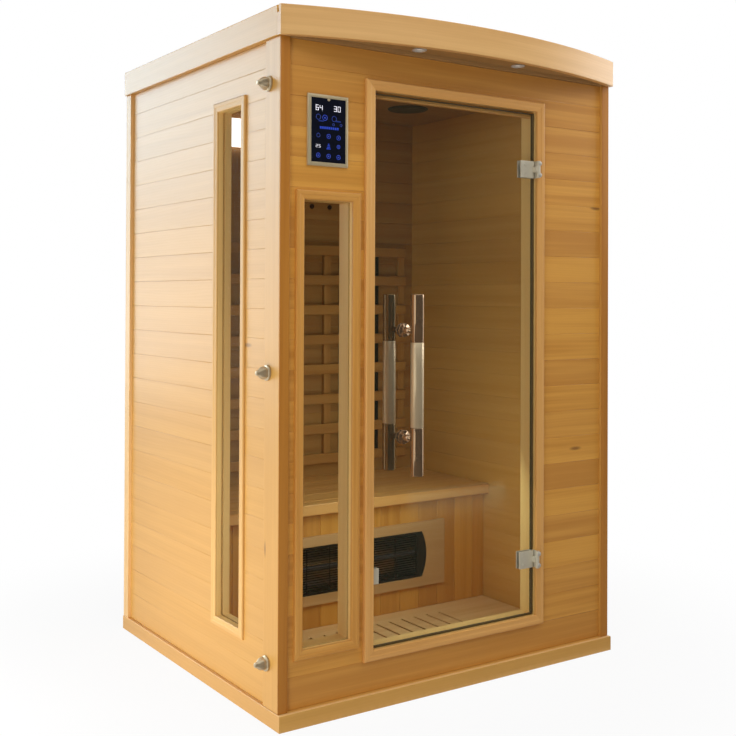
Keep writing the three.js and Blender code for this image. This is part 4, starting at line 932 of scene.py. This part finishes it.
def controlPanel():
    # mitred bezel with a back block and a sensor eye, then the glass and its lit marks
    lo, hi = box("control_housing")
    seeLo, seeHi = box("control_screen")
    border, rest, under = seeLo[0] - lo[0], seeLo[1] + bezel["rest"], -bezel["under"]
    put = lambda a, b, depth: np.stack([a, depth, b], 1)
    outline = softened([(0, rest), (0, lo[1] + 0.5 * mm), (border * 0.35, lo[1]), (border, lo[1] + 2 * mm),
                        (border, trimSeat), (under, trimSeat), (under, rest)],
                       np.array([0.2, 0.5, 2, 2.4, 0.3, 0.3, 0.2]) * mm, 3)
    stock = newStock()
    moulding(stock, put, (seeLo[0], seeHi[0]), (seeLo[2], seeHi[2]), *outline)
    timber(stock, (seeLo[0], trimSeat - bezel["block"], seeLo[2]), (seeHi[0], hi[1], seeHi[2]), 2, 2 * mm)
    eyeAt = (seeLo[0] + seeHi[0]) / 2, seeLo[1], seeHi[2] - bezel["eyeDrop"]
    turned(stock, np.array(bezel["eye"]) * mm, eyeAt, 1, 24)
    makePiece(stock, "control_bezel", bezelPaint, replaced=["control_housing"],
              merge=True)
    stock = newStock()
    inset = np.array(bezel["glassInset"]) * mm
    timber(stock, seeLo + inset, seeHi - inset * (1, 0, 1), 2, 0.5 * mm)
    makePiece(stock, "control_glass", screenGlass, replaced=["control_screen"])
    wide, tall, y = seeHi[0] - seeLo[0], seeHi[2] - seeLo[2], seeLo[1] + bezel["marks"]
    spot = lambda fx, fz: (seeLo[0] + fx * wide, seeHi[2] - fz * tall)
    stock = newStock()
    for text, fx, fz, w, h in screen["readouts"]:
        x, z = spot(fx, fz)
        for k, figure in enumerate(text):
            digit(stock, figure, x + k * (w + 3) * mm, z, w * mm, h * mm, y)
    makePiece(stock, "control_readouts", digitWhite, merge=True)
    bright, dim = newStock(), newStock()
    for fx, fz, r in screen["icons"]:
        x, z = spot(fx, fz)
        ringIcon(bright, x, z, r * mm, y, 1.6 * mm)
        ringIcon(bright, x, z, r * 0.32 * mm, y, r * 0.3 * mm)
    x, z = spot(*screen["coneAt"])
    for k, w in enumerate(screen["cone"]):
        bar(bright, x - w / 2 * mm, z + (4.2 * k - 8) * mm, w * mm, 2.6 * mm, y)
    dashX, dashZ = screen["dashAt"]
    dashWide, dashTall = np.array(screen["dash"]) * mm
    for k in range(screen["dashes"]):
        bar(bright, *spot(dashX + screen["dashPitch"] * k, dashZ), dashWide, dashTall, y)
    for fx, fz, r in screen["dimIcons"]:
        ringIcon(dim, *spot(fx, fz), r * mm, y, 1.8 * mm)
    for place in screen["dimBars"]:
        x, z = spot(*place)
        bar(dim, x - 8 * mm, z - 1.5 * mm, 16 * mm, 3 * mm, y)
    makePiece(bright, "control_icons", iconBlue, merge=True)
    makePiece(dim, "control_dim_icons", iconDim, merge=True)


# bench, backrest and inside fittings
benchSeat = {"first": 58 * mm, "pitch": 105 * mm, "last": 40 * mm, "joint": 0.1 * mm, "nose": 3.4 * mm,
             "edge": 2.6 * mm}
benchFront = {"pitch": 81 * mm, "least": 20 * mm, "guardGap": 1 * mm, "joint": 0.05 * mm}


def bench():
    # seat boards along x, upright front boards cut for the heater, and the heater's pieces
    lo, hi = box("bench_seat")
    inner = np.arange(lo[1] + benchSeat["first"], hi[1] - benchSeat["last"], benchSeat["pitch"])
    edges, joint = np.r_[lo[1], inner, hi[1]], benchSeat["joint"]
    stock = newStock()
    for k, (a, b) in enumerate(zip(edges[:-1], edges[1:])):
        radius = benchSeat["edge"] if k else benchSeat["nose"]
        timber(stock, (lo[0], a + joint, lo[2]), (hi[0], b - joint, hi[2]), 0, radius)
    makePiece(stock, "seat_boards", seatWood, replaced=["bench_seat"])
    lo, hi = box("bench_front_panel")
    gap0, gap1 = box("bench_heater_guard")
    pitch, least, joint = benchFront["pitch"], benchFront["least"], benchFront["joint"]
    count = int((hi[0] - lo[0]) / pitch)
    xs = (np.arange(-count // 2 + 1, count // 2 + 1) - 0.5) * pitch
    xs = np.r_[lo[0], xs[(xs > lo[0] + least) & (xs < hi[0] - least)], hi[0]]
    low, high = gap0[2] - benchFront["guardGap"], gap1[2] + benchFront["guardGap"]
    stock = newStock()
    for a, b in zip(xs[:-1], xs[1:]):
        tone = dice.random()
        spans = [(lo[2], hi[2])] if b < gap0[0] or a > gap1[0] else [(lo[2], low), (high, hi[2])]
        for z0, z1 in spans:
            timber(stock, (a + joint, lo[1], z0), (b - joint, hi[1], z1), 2, 2.3 * mm, tone)
    makePiece(stock, "bench_boards", wallWood, replaced=["bench_front_panel"])
    dress("bench_heater_surround", surroundWood, 1.5 * mm)
    heaterGuard(gap0, gap1)
    dress("bench_heater_reflector", reflectorMetal)
    dress("bench_heater_element", tubeClay)


guard = {"bars": 19, "ties": 7, "bulge": 20 * mm, "rim": 7 * mm, "steps": 17}


def heaterGuard(lo, hi):
    # rim with bowed ends, x = half + bulge - R + sqrt(R^2 - dz^2), crossed by lying bars and standing ties
    bulge, rim, steps = guard["bulge"], guard["rim"], guard["steps"]
    half, rise, mid = (hi[0] - lo[0]) / 2 - bulge, (hi[2] - lo[2]) / 2, (hi[2] + lo[2]) / 2
    radius = (rise ** 2 + bulge ** 2) / (2 * bulge)
    dz = np.linspace(-rise, rise, steps)
    reach = half + bulge - radius + np.sqrt(radius ** 2 - dz ** 2)
    right = np.stack([reach, mid + dz], 1)
    path = np.vstack([right, right[::-1] * (-1, 1)])
    stock = newStock()
    outline, smooth = softened([(0, lo[1]), (rim, lo[1] + 0.5 * mm), (rim, hi[1]), (0, hi[1])], 0.8 * mm)
    shrink = 1 - outline[:, 0][None, :] / np.array([[half + bulge], [rise]])
    sections = np.stack([path[:, :1] * shrink[0][None],
                         np.broadcast_to(outline[:, 1], (len(path), len(outline))),
                         mid + (path[:, 1:] - mid) * shrink[1][None]], 2)
    carry(stock, sections, smooth=smooth, loop=True, caps=False)
    for z in np.linspace(-rise, rise, guard["bars"] + 2)[1:-1]:
        timber(stock, (-half, lo[1] + 0.7 * mm, mid + z - 1.3 * mm),
               (half, lo[1] + 2.4 * mm, mid + z + 1.3 * mm), 0, 0.4 * mm)
    for way in (-1, 1):  # solid bowed ends
        plate = np.zeros((steps, 4, 3))
        inner, outer = np.full(steps, half - 20 * mm), reach - 1 * mm
        plate[:, :, 0] = way * np.stack([inner, outer, outer, inner], 1)
        plate[:, :, 1] = lo[1] + np.array([0.6, 0.6, 2.6, 2.6]) * mm
        plate[:, :, 2] = (mid + dz * 0.985)[:, None]
        carry(stock, plate, smooth=np.zeros(4, bool))
    for x in np.linspace(-half * 0.92, half * 0.92, guard["ties"]):
        timber(stock, (x - 1.5 * mm, lo[1] + 2.3 * mm, lo[2] + 2 * mm),
               (x + 1.5 * mm, hi[1] - 0.5 * mm, hi[2] - 2 * mm), 2, 0.4 * mm)
    makePiece(stock, "heater_grille", heaterBlack, replaced=["bench_heater_guard"])


slats = {"posts": 4, "postWidth": 30 * mm, "postDepth": 18 * mm, "rows": 8, "pitch": 112 * mm,
         "height": 38 * mm}
pegs = {"x": (110 * mm, 188 * mm), "z": 1.476,
        "profile": ((0, -9), (4.5, -8.7), (7.6, -7.2), (9, -4.6), (9, -0.3), (0, -0.3))}


def backrest():
    # slats along x on standing posts, dressed heaters between the posts, the wall lamp above and two turned
    # pegs
    lo, hi = box("backrest_lattice")
    wide, deep = slats["postWidth"], slats["postDepth"]
    stock = newStock()
    for k in range(slats["posts"]):
        x = lo[0] + k * (hi[0] - lo[0] - wide) / (slats["posts"] - 1)
        timber(stock, (x, hi[1] - deep, lo[2] + 1 * mm), (x + wide, hi[1], hi[2] - 1 * mm), 2)
    for k in range(slats["rows"]):
        z = lo[2] + k * slats["pitch"]
        timber(stock, (lo[0], lo[1], z), (hi[0], hi[1] - deep - 0.1 * mm, z + slats["height"]), 0, 3 * mm)
    # the slats take the darker wood, painted shade of the dim interior
    makePiece(stock, "backrest_slats", shadedSlatWood, replaced=["backrest_lattice"])
    for bay in ("left", "centre", "right"):
        dress(bay + "_back_heater", panelBlack, 1.5 * mm)
    dress("wall_lamp", lampOpal, 5 * mm)
    for k, x in enumerate(pegs["x"]):
        stock = newStock()
        turned(stock, np.array(pegs["profile"]) * mm, (x, innerRear, pegs["z"]), 1, 28)
        makePiece(stock, f"coat_peg_{k + 1}", pegBrown, merge=True)


sideWalls()
rearWall()
frontWall()
print("walls made")
for key, spec in windows.items():
    windowFrame(key, spec)
doorFrame()
base()
roofCap()
ceilingFittings()
print("frames, plinth and roof made")
doorLeaf()
hingeScrews()
handles()
clampKnobs()
controlPanel()
bench()
backrest()

# light and ground
# place, aim, size, level and tint; a sheen lights gloss alone, and any other panel lights all but gloss
panels = {
    "upper_left_sheen": ((-2.1, 2.75, 2.45), (-0.6, 0.0, 2.1), (2.4, 1.35), 6.1, (0.66, 0.87, 1.0)),
    "middle_left_sheen": ((-1.95, 2.75, 1.17), (-0.6, 0.0, 1.15), (2.0, 1.15), 4, (0.93, 0.95, 0.9)),
    "low_left_panel": ((-1.55, 0.1, 0.28), (-0.6, 0.1, 0.35), (1.3, 0.35), 5.6, (1, 1, 1)),
    "fore_left_panel": ((-2.9, -2.2, 0.9), (-0.4, -0.4, 0.9), (1.2, 1.6), 5.2, (1, 1, 1)),
    "left_sheen": ((-3.6, -1.6, 1.1), (-0.6, -0.2, 1.0), (0.7, 3.0), 1.3, (1.0, 0.93, 0.8)),
    "right_panel": ((2.7, -1.3, 2.1), (0.5, -0.5, 1.8), (1.4, 1.2), 3.1, (1, 1, 1)),
    "right_sheen": ((2.9, -0.85, 2.3), (0.5, -0.45, 1.8), (1.4, 1.2), 3.1, (1, 1, 1)),
    "high_front_panel": ((0.3, -2.6, 3.4), (0, -0.4, 0.9), (2.4, 1.4), 2.8, (1, 1, 1)),
    "top_panel": ((0, -0.5, 4.0), (0, 0, 0), (3.0, 3.0), 1.35, (1, 1, 1)),
    "inside_low_lamp": ((0.15, -0.1, 1.2), (0.12, 0.15, 0.0), (0.8, 0.4), 0.15, (0.8, 1.0, 1.0)),
    "inside_door_lamp": ((0.0, -0.37, 0.72), (0.0, 0.3, 0.3), (0.36, 0.5), 3.7, (0.82, 1.0, 0.98)),
    "inside_top_lamp": ((0.1, 0.05, 1.79), (0.12, 0.05, 0.0), (0.7, 0.5), 0.57, (0.72, 1.0, 1.0)),
}
for name, (place, aim, size, level, tint) in panels.items():
    # a panel's power is its brightness times pi times its area
    data = bpy.data.lights.new(name, "AREA")
    data.shape, data.size, data.size_y = "RECTANGLE", *size
    data.energy, data.color = level * np.pi * size[0] * size[1], tint
    lamp = bpy.data.objects.new(name, data)
    lamp.location = place
    lamp.rotation_euler = (Vector(aim) - Vector(place)).to_track_quat("-Z", "Y").to_euler()
    lamp.visible_camera, lamp.visible_glossy = False, name.endswith("_sheen")
    lamp.visible_diffuse = not lamp.visible_glossy
    bpy.context.scene.collection.objects.link(lamp)


def surroundings(level):
    # white to the eye, in gloss and through glass, and a low even light otherwise
    world = bpy.data.worlds.new("studio")
    bpy.context.scene.world = world
    world.use_nodes = True
    tree = world.node_tree
    back = tree.nodes["Background"]
    back.inputs["Color"].default_value = (1, 1, 1, 1)
    path, strength = tree.nodes.new("ShaderNodeLightPath"), tree.nodes.new("ShaderNodeMapRange")
    seen = path.outputs["Is Camera Ray"]
    for kind in ("Is Transmission Ray", "Is Glossy Ray"):
        most = tree.nodes.new("ShaderNodeMath")
        most.operation = "MAXIMUM"
        tree.links.new(seen, most.inputs[0])
        tree.links.new(path.outputs[kind], most.inputs[1])
        seen = most.outputs[0]
    strength.inputs["To Min"].default_value, strength.inputs["To Max"].default_value = level, 1.0
    tree.links.new(seen, strength.inputs["Value"])
    tree.links.new(strength.outputs[0], back.inputs["Strength"])


floorSheet = {"half": 14, "near": 0.8, "far": 1.9, "white": 0.92}


def ground():
    # one square, white to the eye, with the cabin's shadow kept near it
    mesh = bpy.data.meshes.new("ground")
    corners = np.array([(-1, -1, 0), (1, -1, 0), (1, 1, 0), (-1, 1, 0)]) * floorSheet["half"]
    mesh.from_pydata(corners.tolist(), [], [(0, 1, 2, 3)])
    floor = bpy.data.objects.new("ground", mesh)
    bpy.context.scene.collection.objects.link(floor)
    g = Graph("white_ground", Base_Color=(0.82, 0.82, 0.82), Roughness=0.8)
    path = g.node("ShaderNodeLightPath")
    rays = [Sock(g, path.socket.node.outputs[kind]) for kind in ("Is Glossy Ray", "Is Transmission Ray")]
    seen = path.math("MAXIMUM", path, path.math("MAXIMUM", *rays))
    away = g.node("ShaderNodeVectorMath", {"operation": "LENGTH"}, {0: g.place()}, 1)
    glow = g.node("ShaderNodeEmission", None, {"Color": (1, 1, 1), "Strength": 1.0})
    share = seen * g.between(away, floorSheet["near"], floorSheet["far"], floorSheet["white"], 1.0)
    mix = g.node("ShaderNodeMixShader", None, {0: share, 1: Sock(g, g.shader.outputs[0]), 2: glow})
    g.tree.links.new(mix.socket, g.tree.nodes["Material Output"].inputs["Surface"])
    mesh.materials.append(g.material)


darkCloth = {"turn": (-75, 62), "steps": 33, "near": 0.5, "reach": (4.6, 5.0, 5.0),
             "high": (0.004, 0.004, 0.4, 5.0)}


def darkRoom():
    # dark cloth in front of the cabin that only reflections see: an arc of wall and the floor before it
    # point (i, j) is at angle i and distance j: x = d sin a, y = -d cos a
    steps = darkCloth["steps"]
    turn = np.radians(np.linspace(*darkCloth["turn"], steps))
    reach = np.stack([darkCloth["near"] / np.cos(turn), *(np.full(steps, r) for r in darkCloth["reach"])], 1)
    high = np.broadcast_to(np.array(darkCloth["high"]), (steps, 4))
    co = np.stack([reach * np.sin(turn)[:, None], -reach * np.cos(turn)[:, None], high], 2)
    i, j = (k.ravel() for k in np.meshgrid(np.arange(steps - 1), np.arange(3), indexing="ij"))
    quads = np.stack([i * 4 + j, i * 4 + j + 1, i * 4 + j + 5, i * 4 + j + 4], 1)
    mesh = bpy.data.meshes.new("dark_cloth")
    mesh.from_pydata(co.reshape(-1, 3).tolist(), [], quads.tolist())
    cloth = bpy.data.objects.new("dark_cloth", mesh)
    bpy.context.scene.collection.objects.link(cloth)
    finish = Graph("dark_cloth", Base_Color=(0.09, 0.055, 0.028), Roughness=1.0, Specular_IOR_Level=0.0)
    mesh.materials.append(finish.material)
    cloth.visible_camera = cloth.visible_diffuse = cloth.visible_shadow = False
    cloth.visible_transmission = cloth.visible_volume_scatter = False


evenLight = 0.2
surroundings(evenLight)
ground()
darkRoom()
bpy.context.scene.view_settings.view_transform = "Standard"
print("light set")
